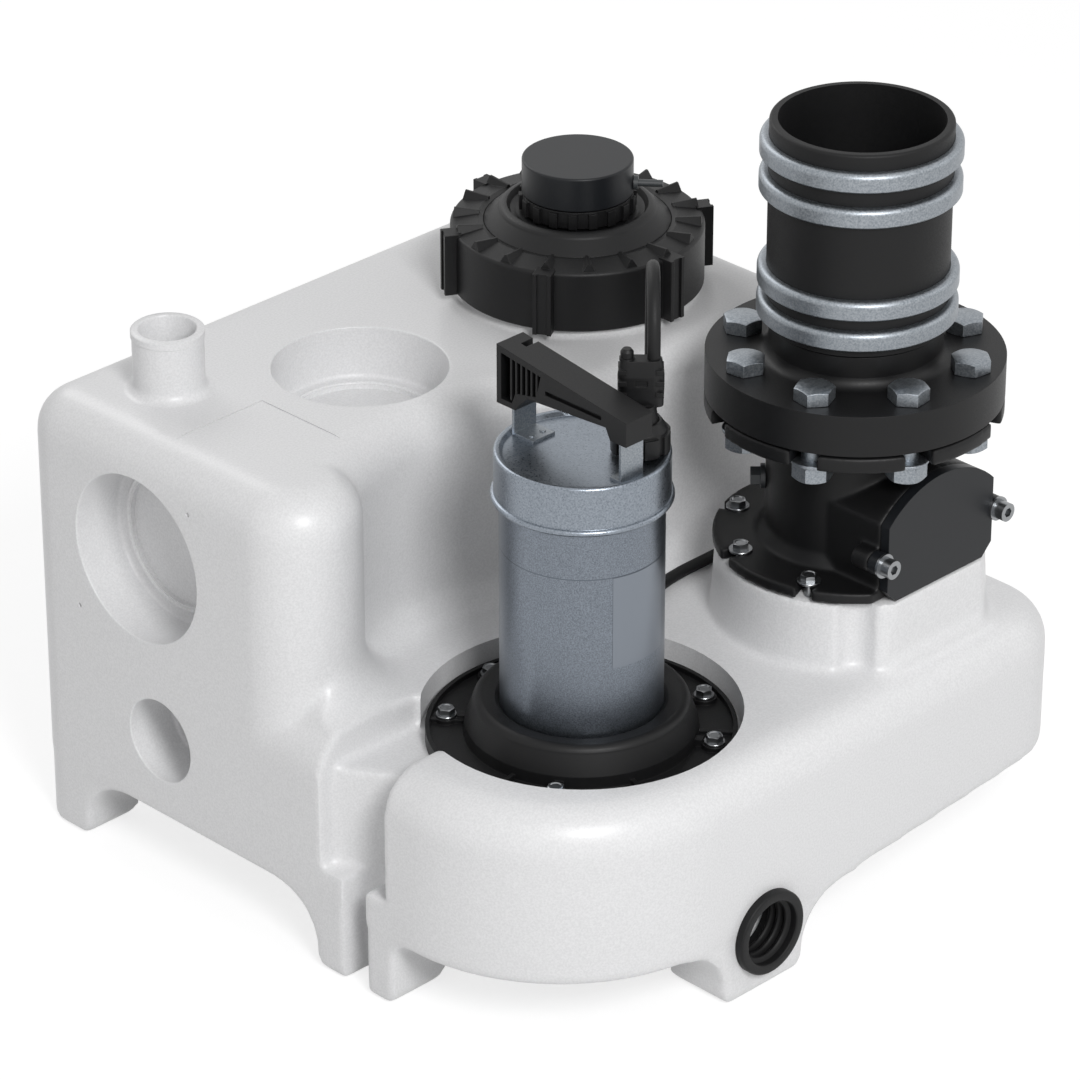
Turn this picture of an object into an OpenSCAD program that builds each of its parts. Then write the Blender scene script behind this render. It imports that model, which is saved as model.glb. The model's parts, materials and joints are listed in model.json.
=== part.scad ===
/* [Tank] */
// Length of the tank, left to right
tank_l = 500; // [470:1:560]
// Depth of the tank, front to back
tank_w = 516; // [490:1:560]
// Height of the tall rear body above the floor
body_h = 330; // [315:1:360]
// Height of the low front deck above the floor
deck_h = 175; // [168:1:190]
// Clear height under the tank, between its feet
foot_h = 50; // [45:1:54]
// Thickness of the moulded tank wall
wall = 6; // [4:0.5:7]
// Radius of the soft moulded edges along the top
edge_r = 30; // [22:1:30]
// Plan radius of the rounded nose around the pump
nose_r = 139; // [130:1:145]
// Plan radius of the other tank corners
corner_r = 34; // [32:1:44]
// Depth of the inlet recesses
inlet_depth = 38; // [30:1:44]
// Diameter of the large side and top inlet recesses
inlet_d = 120; // [112:1:124]
// Diameter of the small side inlet recess
small_inlet_d = 60; // [54:1:64]
// Height of the large side inlet above the floor
inlet_z = 243; // [240:1:248]
// Outer diameter of the vent stub
vent_d = 50; // [44:1:54]
// Height of the vent stub above the body
vent_h = 44; // [36:1:50]

/* [Pump well] */
// Distance of the pump axis from the left face
pump_inset_x = 155; // [150:1:160]
// Distance of the pump axis from the front face
pump_inset_y = 135; // [132:1:140]
// Diameter of the well that the pump stands in
well_d = 214; // [212:1:222]
// Depth of the well below the deck
well_depth = 23; // [20:1:26]
// Radius of the scoop in the tall body, around the pump
scoop_r = 156; // [150:1:160]
// Width of the drain channel from the well to the left face
channel_w = 60; // [50:1:66]

/* [Motor] */
// Outer diameter of the motor tube
motor_d = 108; // [104:1:112]
// Length of the motor tube
motor_l = 174; // [166:1:180]
// Height of the motor cap
motor_cap_h = 34; // [30:1:38]
// Diameter of the rotor shaft
shaft_d = 16; // [14:1:20]
// Height of the laminated stator
stator_h = 80; // [60:1:90]
// Diameter of the impeller
impeller_d = 104; // [90:1:110]
// Length of the carrying handle
handle_l = 116; // [110:1:120]
// Width of the carrying handle
handle_w = 24; // [20:1:28]
// Diameter of the power cable
cable_d = 8.6; // [8.6:0.1:8.6]

/* [Discharge] */
// Distance from the pump axis to the discharge axis, along X
discharge_dx = 225; // [223:1:228]
// Distance from the pump axis to the discharge axis, along Y
discharge_dy = 32; // [30:1:33]
// Height of the pedestal above the deck
pedestal_h = 50; // [46:1:54]
// Height of the check valve from its base to its flange
valve_h = 112; // [108:1:118]
// Bore of the discharge line
line_d = 76; // [70:1:80]
// Diameter of the flanges
flange_d = 200; // [196:1:204]
// Thickness of the adapter flange
adapter_t = 29; // [24:1:32]
// Bolt circle of the flanges
bolt_circle = 160; // [156:1:162]
// Diameter of the flange bolts
bolt_d = 16; // [14:1:16]
// Inner diameter of the flexible hose
hose_id = 110; // [108:1:112]
// Wall of the flexible hose
hose_wall = 5.5; // [4:0.5:6]
// Length of the flexible hose
hose_l = 143; // [138:1:160]
// Width of one hose clamp band
band_w = 13; // [10:1:14]

/* [Screw cap] */
// Distance of the cap axis from the right face
cap_inset_x = 125; // [122:1:128]
// Distance of the cap axis from the back face
cap_inset_y = 159; // [150:1:162]
// Outer diameter of the screw ring, without its lugs
ring_d = 176; // [170:1:178]
// Height of the screw ring
ring_h = 46; // [40:1:48]
// Diameter of the level sensor's cover
sensor_d = 77; // [70:1:80]

/* [Drain] */
// Outer diameter of the drain sleeve
sleeve_d = 60; // [56:1:62]
// How far the drain sleeve stands out of the front face
sleeve_proud = 6; // [4:1:8]

/* [Hidden] */

$fn = 64;
cut = 1;
gap = 0.3;
run_fit = 0.05;
shell_fn = 48;
arc_step = 11.25;
sqrt_half = sqrt(1 / 2);

tank_front = sleeve_proud / 2 - tank_w / 2;
tank_back = tank_front + tank_w;
tank_left = -tank_l / 2;
tank_right = tank_l / 2;
nose_floor = foot_h;
tail_lift = 14;
bottom_r = 6;
arch_r = 0.76 * foot_h;
foot_r = 0.2 * foot_h;
foot_inset = 0.6;
finger_r = 45;
finger_front = 245;
right_front = 232;
foot_fillet = 24;

pump_x = tank_left + pump_inset_x;
pump_y = tank_front + pump_inset_y;
disch_x = pump_x + discharge_dx;
disch_y = pump_y - discharge_dy;
cap_x = tank_right - cap_inset_x;
cap_y = tank_back - cap_inset_y;

well_floor = deck_h - well_depth;
well_r = well_d / 2;
pump_hole_r = 76;
channel_y = pump_y + 57;
slot_w = 20;
slot_l = 25;
ledge_z = 79;

inlet_y = tank_front + 398;
top_inlet_x = tank_left + 184;
top_inlet_y = tank_front + 374;
small_inlet_y = tank_front + 380;
small_inlet_z = 111;
vent_x = tank_left + 72;
vent_y = tank_front + 441;
vent_bore_d = 38;
mark_x = tank_left + 103;
mark_y = tank_front + 383;
mark_l = 77;
drain_x = pump_x + 37;
drain_z = 45;
front_foot_l = 75;
wedge_x = drain_x - front_foot_l / 2 + front_foot_l + arch_r + 2;

pedestal_r = 94;
pedestal_flat = 80;
pedestal_top = deck_h + pedestal_h;
neck_r = 79;
neck_h = 40;

motor_r = motor_d / 2;
casing_t = 1.5;
motor_foot = well_floor + 8;
motor_top = motor_foot + motor_l;
motor_cap_top = motor_top - 2 + motor_cap_h;
cap_wall_r = motor_r + 3.5;
cap_flat = cap_wall_r - 3.8;
flange_r = 103;
flange_screw_r = 90;
flange_screw_at = [33, 87, 127, 214, 300, 340];
screw_d = 6;
screw_washer_t = 1.6;
pump_flange_t = 6;
housing_rim_r = 99;
housing_rim_t = 8;
volute_z = (foot_h + well_floor) / 2;
shaft_bottom = volute_z - 11;
volute_h = 48;
volute_wall = 5;
volute_bore_r = impeller_d / 2 + 5;
pipe_wall = 4;
pipe_r = line_d / 2 - 4;
pipe_bore_r = pipe_r - pipe_wall - 4;
elbow_r = 62;
spigot_end = 96;

lower_plate_z = motor_foot;
lower_plate_t = 20;
upper_plate_z = motor_top - 36;
upper_plate_t = 18;
bearing_od = 35;
bearing_t = 11;
stator_z = lower_plate_z + lower_plate_t + 20;
stator_bore_r = 34;
air_gap = 0.5;
seal_r = 15;
impeller_z = volute_z + 6;

plug_a = -45;
plug_dist = 37;
plug_x = pump_x + plug_dist * cos(plug_a);
plug_y = pump_y + plug_dist * sin(plug_a);
collar_r = 19.5;
collar_h = 17;
cap_dish = 3;
collar_z = motor_cap_top - cap_dish;
handle_back = 61;
handle_shift = -5;
handle_low = motor_cap_top + 27;
plug_z = collar_z + 34;
plug_h = 33;
plug_core_r = 10;
cable_off = 8;
stub_off = -9;

valve_gasket_t = 1.5;
valve_z = pedestal_top + valve_gasket_t;
valve_plate_t = 8;
valve_plate_r = 93;
valve_top = valve_z + valve_h;
valve_flange_t = 11.5;
valve_screw_r = 81;
valve_screw_at = [22.5, 67.5, 112.5, 157.5, 202.5, 337.5];
body_r = 58;
body_bore_r = 50;
box_w = 104;
box_front = 72;
cover_t = 7;
cover_gasket_t = 1;
box_side_h = 57;
box_arch = 22;
seat_z = valve_z + 17;
seat_bore_r = 34;
flap_r = 38;
flap_t = 7;
flap_pin_y = disch_y - 50;
flap_pin_z = seat_z + 8;
flap_pin_r = 3.5;
cover_screw_x = 57;
cover_screw_z = valve_z + 32;
cover_screw_d = 8;

flange_gasket_t = 1.5;
adapter_z = valve_top + flange_gasket_t;
adapter_top = adapter_z + adapter_t;
bolt_r = bolt_circle / 2;
bolt_head_h = 10;
bolt_washer_t = 2.5;
nut_h = 12;
head_d = bolt_d * 1.5 / cos(30);
hub_r = 62;
hub_h = 26;
hose_z = adapter_top + hub_h - 2;
hose_top = hose_z + hose_l;
hose_r = hose_id / 2 + hose_wall;
band_r = hose_r + 6.2;
band_z = [hose_z + 6, hose_z + 28, hose_top - 49, hose_top - 24];
spigot_r = hose_id / 2 + 0.7;
spigot_h = 70;

ring_r = ring_d / 2;
ring_z = body_h + 8;
ring_top = ring_z + ring_h;
ring_lip_t = 6;
ring_open_r = 65;
ring_lugs = 6;
ribs_between = 2;
lug_w = 13;
lug_l = 8;
insert_top = ring_top + 11;
sensor_r = sensor_d / 2;
sensor_z = ring_top + 21;
level_pipe_r = 25;
level_pipe_foot = 90;
sensor_top = sensor_z + 24;

right_corner_r = 52;
low_corners = [[tank_left + nose_r, tank_front + nose_r, nose_r],
  [tank_right - right_corner_r, tank_front + right_corner_r, right_corner_r],
  [tank_right - corner_r, tank_back - corner_r, corner_r],
  [tank_left + corner_r, tank_back - corner_r, corner_r]];
cavity_steps = [[0, 16], [6, 6], [14, 0]];

// Cable: it rises from the plug, falls behind the motor, lies on the deck and drops down the right side
entry_x = plug_x + cable_off * cos(plug_a);
entry_y = plug_y + cable_off * sin(plug_a);
entry_z = plug_z + plug_h;
cable_r = cable_d / 2;
cable_sides = 8;
coil_mid_r = 47;
coil_columns = 3;
coil_layers = 4;
coil_x = tank_right + 90;
coil_y = tank_front + 265.6;
// Height steps above the plug, as distance along the diagonal and height
rise_points = [[0, 0], [0, 8], [5, 26], [18, 39], [36, 44], [54, 39], [67, 26], [73, 8], [77, -24], [79, -64],
  [81, -104], [83, -144]];
// Then distance along the diagonal and height above the deck
fall_points = [[84, 68], [87, 46], [94, 27], [106, 13], [122, 6]];
// Then places on the deck, from the pump axis
deck_points = [[141, 69], [165, 74], [200, 75], [240, 75], [276, 75]];
// Then over the right edge: distance from the right face and height above the deck
edge_points = [[-30, 5], [-17, 2], [-5, -5], [2, -17], [5, -30], [6, -60], [6, -98]];
// Then distance from the right face and height above the floor
floor_points = [[6, 50], [9, 31], [18, 16], [32, 7], [50, 5], [68, 4.6], [80, 4.6]];
// From the coil to the mains plug: distance along Y from the coil's axis and height
tail_points = [[10, 30.4], [22, 28.8], [31, 25], [40, 21.2], [52, 19.4]];
cable_run = concat(
  [for (p = rise_points) [entry_x + p[0] * sqrt_half, entry_y + p[0] * sqrt_half, entry_z + p[1]]],
  [for (p = fall_points) [entry_x + p[0] * sqrt_half, entry_y + p[0] * sqrt_half, deck_h + p[1]]],
  [for (p = deck_points) [pump_x + p[0], pump_y + p[1], deck_h + 5]],
  [for (p = edge_points) [tank_right + p[0], pump_y + 75, deck_h + p[1]]],
  [for (p = floor_points) [tank_right + p[0], pump_y + 75, p[1]]]);
cable_tail = [for (p = tail_points) [coil_x + coil_mid_r + cable_d, coil_y + p[0], p[1]]];

function unit(v) = v / norm(v);
function run_dir(p, i) = unit(p[min(i + 1, len(p) - 1)] - p[max(i - 1, 0)]);

// Direction and side vector at each point, carried along without twist
function run_frames(p, side, i = 0) = i == len(p) ? [] :
  let (t = run_dir(p, i), s = unit(side - (side * t) * t)) concat([[t, s]], run_frames(p, s, i + 1));

// A quarter arc of radius r about c, from angle a to angle b
function arc(c, r, a, b) = [for (k = [0 : round(abs(b - a) / arc_step)])
  let (t = a + k * (b - a) / max(1, round(abs(b - a) / arc_step)))
  c + r * [cos(t), sin(t)]];

// Solid of revolution with a rounded top and a rounded bottom edge
module puck(r, z0, z1, top_r, low_r)
  rotate_extrude($fn = shell_fn)
    polygon(concat([[0, z0]], arc([r - low_r, z0 + low_r], low_r, -90, 0),
      arc([r - top_r, z1 - top_r], top_r, 0, 90), [[0, z1]]));

// Outline of a block from a to b, its lower and upper edges rounded
function block_profile(a, b, z0, z1, top_r, low_r) = concat(
  arc([a + low_r, z0 + low_r], low_r, 270, 180), arc([a + top_r, z1 - top_r], top_r, 180, 90),
  arc([b - top_r, z1 - top_r], top_r, 90, 0), arc([b - low_r, z0 + low_r], low_r, 0, -90));

module block_along_x(x0, x1, y0, y1, z0, z1, top_r, low_r)
  translate([x0, 0, 0]) rotate([90, 0, 90]) linear_extrude(x1 - x0)
    polygon(block_profile(y0, y1, z0, z1, top_r, low_r));

module block_along_y(x0, x1, y0, y1, z0, z1, top_r, low_r)
  translate([0, y1, 0]) rotate([90, 0, 0]) linear_extrude(y1 - y0)
    polygon(block_profile(x0, x1, z0, z1, top_r, low_r));

// Low body with its big nose corner
module low_block() {
  low = nose_floor;
  high = deck_h;
  for (c = low_corners) translate([c[0], c[1]]) puck(c[2], low, high, edge_r, bottom_r);
  block_along_x(tank_left + nose_r, tank_right - right_corner_r, tank_front, tank_back, low, high, edge_r, bottom_r);
  block_along_y(tank_left, tank_right, tank_front + nose_r, tank_back - corner_r, low, high, edge_r, bottom_r);
  block_along_x(tank_left + corner_r, tank_right - corner_r, tank_front + nose_r, tank_back, low, high,
    edge_r, bottom_r);
  block_along_y(tank_left + nose_r, tank_right, tank_front + right_corner_r, tank_back - corner_r, low, high,
    edge_r, bottom_r);
}

// Tall rear body
module tall_block() {
  low = nose_floor + edge_r;
  high = body_h;
  front = tank_front + right_front;
  finger_y = tank_front + finger_front + finger_r;
  for (c = [[tank_right - finger_r, front + finger_r, finger_r],
      [tank_right - corner_r, tank_back - corner_r, corner_r],
      [tank_left + corner_r, tank_back - corner_r, corner_r]])
    translate([c[0], c[1]]) puck(c[2], low, high, edge_r, bottom_r);
  block_along_x(tank_left + finger_r, tank_right - finger_r, front, tank_back, low, high, edge_r, bottom_r);
  block_along_y(tank_left, tank_right, finger_y, tank_back - corner_r, low, high, edge_r, bottom_r);
  block_along_x(tank_left + corner_r, tank_right - corner_r, front + 2 * finger_r, tank_back, low, high,
    edge_r, bottom_r);
  block_along_y(tank_left + finger_r, tank_right, front + finger_r, tank_back - corner_r, low, high,
    edge_r, bottom_r);
}

// Cutter for the concave wall behind the pump, with its flared top and filleted foot
module scoop()
  translate([pump_x, pump_y])
    rotate_extrude()
      polygon(concat([[0, deck_h]], arc([scoop_r - foot_fillet, deck_h + foot_fillet], foot_fillet, -90, 0),
        arc([scoop_r + edge_r, body_h - edge_r], edge_r, 180, 90),
        [[scoop_r + edge_r, body_h + cut], [0, body_h + cut]]));

// Rounded end of the tall body beside the scoop
module finger()
  translate([tank_left + finger_r, tank_front + finger_front + finger_r])
    puck(finger_r, nose_floor + edge_r, body_h, edge_r, bottom_r);

// Fillet between the finger and the deck, running out over the tank's rounded edge
module finger_fillet() {
  fillet = 1.3 * foot_fillet;
  intersection() {
    translate([tank_left + finger_r, tank_front + finger_front + finger_r])
      rotate_extrude()
        polygon(concat([[finger_r - 4, deck_h - 25], [finger_r - 4, deck_h + fillet - 0.5]],
          arc([finger_r + fillet, deck_h + fillet], fillet, 180, 270), [[finger_r + fillet, deck_h - 25]]));
    block_along_y(tank_left + 8, tank_left + 160, channel_y + channel_w / 2 - 12,
      tank_front + finger_front + finger_r, deck_h - 50, deck_h + fillet + 0.5, edge_r + fillet, bottom_r);
  }
}

module tank_block() {
  low_block();
  difference() {
    tall_block();
    scoop();
  }
  finger();
  finger_fillet();
}

// Plan of the low body, inset by t
module low_plan(t) {
  for (c = low_corners) translate([c[0], c[1]]) circle(c[2] - t);
  polygon([[tank_left + nose_r, tank_front + t], [tank_right - right_corner_r, tank_front + t],
    [tank_right - t, tank_front + right_corner_r], [tank_right - t, tank_back - corner_r],
    [tank_right - corner_r, tank_back - t], [tank_left + corner_r, tank_back - t],
    [tank_left + t, tank_back - corner_r], [tank_left + t, tank_front + nose_r]]);
}

// Plan of the tall body, inset by t
module tall_plan(t)
  difference() {
    polygon([[tank_left + finger_r, tank_front + finger_front + t],
      [tank_left + finger_r, tank_front + right_front + t],
      [tank_right - finger_r, tank_front + right_front + t], [tank_right - t, tank_front + right_front + finger_r],
      [tank_right - t, tank_back - corner_r], [tank_right - corner_r, tank_back - t],
      [tank_left + corner_r, tank_back - t], [tank_left + t, tank_back - corner_r],
      [tank_left + t, tank_front + finger_front + finger_r]]);
    translate([pump_x, pump_y]) circle(scoop_r + t);
  }

// Inside of the tank: nested prisms step around the rounded outer edges
module cavity()
  difference() {
    union() {
      for (k = cavity_steps) {
        low_z = nose_floor + wall + k[0] / 2;
        translate([0, 0, low_z]) linear_extrude(deck_h - wall - k[1] - low_z) low_plan(wall + k[0]);
        translate([0, 0, low_z + edge_r]) linear_extrude(body_h - wall - k[1] - low_z - edge_r)
          tall_plan(wall + k[0] + 1);
      }
    }
    translate([0, 0, wall]) tail_wedge();
  }

// Concave fillet along X where the right part of the tall body meets the deck
module wall_fillet()
  translate([pump_x + scoop_r * 0.8, tank_front + right_front, deck_h])
    rotate([90, 0, 90])
      linear_extrude(tank_right - pump_x - scoop_r * 0.8 - finger_r)
        polygon(concat([[2, -cut], [-foot_fillet, -cut]], arc([-foot_fillet, foot_fillet], foot_fillet, -90, 0),
          [[2, foot_fillet]]));

// Underside rising towards the right end
module tail_wedge()
  translate([0, tank_back + cut, 0]) rotate([90, 0, 0])
    linear_extrude(tank_w + 2 * cut)
      polygon([[wedge_x, nose_floor - cut], [tank_right + cut, nose_floor - cut],
        [tank_right + cut, nose_floor + tail_lift], [tank_right - 50, nose_floor + tail_lift],
        [wedge_x, nose_floor]]);

// Outline of a foot from a to b, standing on the floor, arching out by ra and rb under the tank
module foot_profile(a, b, ra, rb, under, top)
  polygon(concat([[a - ra, top]], arc([a - ra, under - ra], ra, 90, 0), arc([a + foot_r, foot_r], foot_r, 180, 270),
    arc([b - foot_r, foot_r], foot_r, 270, 360), arc([b + rb, under - rb], rb, 180, 90), [[b + rb, top]]));

// Foot over the rectangle x0, y0 to x1, y1, its outer faces flush with the tank's
module foot(x0, x1, y0, y1, rx0, rx1, ry0, ry1, under, top)
  intersection() {
    translate([0, y1 + arch_r + cut, 0]) rotate([90, 0, 0]) linear_extrude(y1 - y0 + 2 * arch_r + 2 * cut)
      foot_profile(x0, x1, rx0, rx1, under, top);
    translate([x0 - arch_r - cut, 0, 0]) rotate([90, 0, 90]) linear_extrude(x1 - x0 + 2 * arch_r + 2 * cut)
      foot_profile(y0, y1, ry0, ry1, under, top);
    translate([0, 0, -cut]) linear_extrude(top + 2 * cut) low_plan(foot_inset);
  }

module feet() {
  slot_back = channel_y + slot_w / 2;
  slot_front = channel_y - slot_w / 2;
  top = nose_floor + 14;
  foot(tank_left - 2, tank_left + 46, slot_back - 4, slot_back + 28, 4, 10, 4, arch_r, nose_floor, top);
  foot(tank_left - 2, tank_left + 50, slot_front - 26, slot_front + 4, 4, 10, 14, 4, nose_floor, top);
  foot(tank_left - 2, tank_left + 48, tank_back - 56, tank_back + 2, 4, 10, arch_r, 4, nose_floor, top);
  foot(drain_x - front_foot_l / 2, drain_x + front_foot_l / 2, tank_front - 2, tank_front + 54, arch_r, arch_r, 4, 10,
    nose_floor, nose_floor + 30);
}

module tail_foot()
  foot(tank_right - 70, tank_right - 20, tank_back - 80, tank_back - 26, arch_r, 10, arch_r, 10,
    nose_floor + tail_lift + 1, nose_floor + tail_lift + wall - 1);

module inlet_recess(r) {
  translate([0, 0, -inlet_depth]) cylinder(r = r, h = inlet_depth + cut);
  translate([0, 0, -inlet_depth - 3]) cylinder(r = r - 12, h = 5);
}

module inlet_pocket(r)
  translate([0, 0, -inlet_depth - wall - 3]) cylinder(r = r + wall, h = inlet_depth + wall + 1);

module at_side_inlet() translate([tank_left, inlet_y, inlet_z]) rotate([0, -90, 0]) children();
module at_small_inlet() translate([tank_left, small_inlet_y, small_inlet_z]) rotate([0, -90, 0]) children();
module at_top_inlet() translate([top_inlet_x, top_inlet_y, body_h]) children();
module at_drain() translate([drain_x, tank_front, drain_z]) rotate([90, 0, 0]) children();

module pedestal()
  translate([disch_x, disch_y, deck_h - cut])
    difference() {
      union() {
        cylinder(r1 = pedestal_r, r2 = pedestal_r - 3, h = pedestal_h + cut);
        rotate_extrude() translate([pedestal_r - 1, cut]) difference() {
          translate([-2, -1]) square([8, 7]);
          translate([6, 6]) circle(6);
        }
      }
      translate([-pedestal_r - 10, -pedestal_r - 20, cut + 6])
        cube([2 * pedestal_r + 20, pedestal_r + 20 - pedestal_flat, pedestal_h + cut]);
      translate([-pedestal_r - 10, -pedestal_r - 20, -cut])
        cube([2 * pedestal_r + 20, pedestal_r + 16 - pedestal_flat, pedestal_h + cut]);
      rotate(-135) translate([pedestal_r + 3, 0, cut]) cylinder(r1 = 13, r2 = 15, h = pedestal_h + cut, $fn = 32);
    }

module tank() color("gainsboro")
  difference() {
    union() {
      difference() {
        union() {
          tank_block();
          wall_fillet();
          feet();
          pedestal();
        }
        difference() {
          cavity();
          translate([pump_x, pump_y, well_floor - wall]) cylinder(r = well_r + wall, h = deck_h);
          channel_walls();
          at_side_inlet() inlet_pocket(inlet_d / 2);
          at_small_inlet() inlet_pocket(small_inlet_d / 2);
          at_top_inlet() inlet_pocket(inlet_d / 2);
          at_drain() translate([0, 0, -24]) cylinder(r = sleeve_d / 2 + wall, h = 24);
        }
        difference() {
          translate([disch_x, disch_y, deck_h - 2 * wall]) cylinder(r = pedestal_r - 24, h = pedestal_h + wall);
          translate([disch_x, disch_y, deck_h - 3 * wall]) cylinder(r = pipe_r + wall, h = pedestal_h + 3 * wall);
        }
        tail_wedge();
      }
      tail_foot();
      translate([cap_x, cap_y, body_h - wall]) cylinder(r = neck_r, h = neck_h + wall);
      translate([cap_x, cap_y, body_h - cut])
        rotate_extrude() translate([neck_r - 1, 0]) difference() {
          square([9, 7]);
          translate([9, 8]) circle(7.5);
        }
      translate([vent_x, vent_y, body_h - wall]) cylinder(d = vent_d, h = vent_h + wall);
      translate([vent_x, vent_y, body_h - cut])
        rotate_extrude() translate([vent_d / 2 - 1, 0]) difference() {
          square([7, 6]);
          translate([7, 7]) circle(6);
        }
    }
    translate([pump_x, pump_y, well_floor]) cylinder(r = well_r, h = deck_h);
    translate([pump_x, pump_y, 0]) cylinder(r = pump_hole_r, h = deck_h);
    for (a = flange_screw_at) translate([pump_x, pump_y]) rotate(a)
      translate([flange_screw_r, 0, well_floor - wall - cut]) cylinder(d = screw_d + 1, h = wall + 2 * cut, $fn = 24);
    channel();
    at_side_inlet() inlet_recess(inlet_d / 2);
    at_small_inlet() inlet_recess(small_inlet_d / 2);
    at_top_inlet() inlet_recess(inlet_d / 2);
    at_drain() translate([0, 0, -30]) cylinder(r = sleeve_d / 2 - 4 + gap, h = 40);
    translate([disch_x, disch_y, deck_h - 4 * wall]) cylinder(r = pipe_r + gap, h = pedestal_h + 4 * wall + cut);
    for (a = valve_screw_at) translate([disch_x, disch_y]) rotate(a)
      translate([valve_screw_r, 0, pedestal_top - 20]) cylinder(d = screw_d + gap, h = 21, $fn = 24);
    translate([cap_x, cap_y, body_h - 2 * wall]) cylinder(r = neck_r - 6, h = neck_h + 3 * wall);
    translate([vent_x, vent_y, body_h - 2 * wall]) cylinder(d = vent_bore_d, h = vent_h + 3 * wall);
    translate([mark_x - mark_l, mark_y, body_h - 0.8]) cube([mark_l, 1.2, 2]);
    translate([mark_x - 1.2, mark_y - mark_l, body_h - 0.8]) cube([1.2, mark_l + 1.2, 2]);
  }

// Plan of the drain channel in the left face, its back wall slanted towards the well, moved out by t
module channel_plan(t) {
  side = channel_w / 2;
  back = pump_x - well_r + t;
  polygon([[tank_left - cut, channel_y + side + t], [tank_left + 11 + 0.75 * t, channel_y + side + t],
    [back - 8.7, channel_y + (t - side) / 2], [back - 6, channel_y - side],
    [back - 6, channel_y - side - t], [tank_left - cut, channel_y - side - t]]);
}

// Walls around the channel inside the tank
module channel_walls() {
  linear_extrude(deck_h) channel_plan(wall);
  translate([tank_left, channel_y - channel_w / 2 - wall, well_floor - wall])
    cube([pump_inset_x, channel_w + 2 * wall, deck_h]);
  translate([tank_left, channel_y - slot_w / 2 - wall, 0]) cube([slot_l + wall, slot_w + 2 * wall, ledge_z]);
}

// Channel that drains the well to the left face, with its sill, ledge and foot slot
module channel() {
  translate([tank_left - cut, channel_y - channel_w / 2, well_floor])
    cube([pump_inset_x, channel_w, deck_h]);
  translate([0, 0, ledge_z]) linear_extrude(deck_h) channel_plan(0);
  translate([tank_left - cut, channel_y - slot_w / 2, -cut]) cube([slot_l + cut, slot_w, well_floor]);
}

module drain_sleeve() color("black")
  at_drain()
    difference() {
      union() {
        translate([0, 0, -22]) cylinder(r = sleeve_d / 2 - 4, h = 23);
        cylinder(d = sleeve_d, h = sleeve_proud);
      }
      translate([0, 0, -23]) cylinder(r = sleeve_d / 2 - 8, h = 40);
    }

// Spiral outline of the volute, growing towards the outlet
function spiral(r0, growth) = [for (k = [0 : 35]) let (a = -90 - k * 10)
  (r0 + growth * k / 35) * [cos(a), sin(a)]];

module pump_housing() color("dimgray")
  translate([pump_x, pump_y]) difference() {
    union() {
      translate([0, 0, volute_z - volute_h / 2]) linear_extrude(volute_h)
        polygon(spiral(volute_bore_r + volute_wall, 12));
      translate([0, 0, volute_z]) cylinder(r = volute_bore_r + volute_wall, h = well_floor - wall - volute_z);
      translate([0, 0, well_floor - wall - housing_rim_t]) cylinder(r = housing_rim_r, h = housing_rim_t);
      translate([0, -discharge_dy, volute_z]) rotate([0, 90, 0]) cylinder(r = pipe_r - pipe_wall, h = spigot_end);
      translate([0, 0, volute_z - volute_h / 2 - 10]) cylinder(r = 40, h = 11);
    }
    translate([0, 0, volute_z - volute_h / 2 + volute_wall]) linear_extrude(volute_h - 2 * volute_wall)
      polygon(spiral(volute_bore_r, 12));
    translate([0, 0, volute_z]) cylinder(r = volute_bore_r, h = deck_h);
    translate([0, -discharge_dy, volute_z]) rotate([0, 90, 0])
      cylinder(r = pipe_bore_r, h = spigot_end + cut);
    translate([0, 0, 0]) cylinder(r = 34, h = volute_z);
    for (a = flange_screw_at) rotate(a)
      translate([flange_screw_r, 0, well_floor - wall - housing_rim_t - cut])
        cylinder(d = screw_d + gap, h = 10, $fn = 24);
  }

module inlet_grommet() color("black")
  translate([pump_x, pump_y, volute_z - volute_h / 2 - 10])
    rotate_extrude() {
      translate([30, -2]) square([3.7, 16]);
      translate([30, -3]) square([8, 2.7]);
    }

module outlet_pipe() color("dimgray")
  translate([disch_x, disch_y])
    difference() {
      union() {
        translate([-elbow_r + cut, 0, volute_z]) rotate([0, -90, 0])
          cylinder(r = pipe_r, h = discharge_dx - elbow_r - spigot_end + 24 + cut);
        translate([0, 0, volute_z + elbow_r - cut]) cylinder(r = pipe_r, h = pedestal_top - volute_z - elbow_r + cut);
        elbow(pipe_r + 1);
      }
      translate([-elbow_r + cut, 0, volute_z]) rotate([0, -90, 0])
        cylinder(r = pipe_bore_r, h = discharge_dx);
      translate([-discharge_dx + spigot_end - 25, 0, volute_z]) rotate([0, 90, 0])
        cylinder(r = pipe_r - pipe_wall + gap, h = 28);
      translate([0, 0, volute_z + elbow_r - cut]) cylinder(r = pipe_bore_r, h = deck_h);
      elbow(pipe_bore_r + 1);
    }

// Quarter bend from the volute's level up into the pedestal
module elbow(r)
  translate([-elbow_r, 0, volute_z + elbow_r]) rotate([90, 0, 0]) rotate([0, 0, -90])
    rotate_extrude(angle = 90) translate([elbow_r, 0]) circle(r);

module outlet_seal() color("black")
  translate([pump_x + spigot_end + gap, pump_y - discharge_dy, volute_z]) rotate([0, 90, 0])
    difference() {
      cylinder(r = pipe_r - pipe_wall, h = 2.4);
      translate([0, 0, -cut]) cylinder(r = pipe_r - pipe_wall - 6, h = 5);
    }

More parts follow.
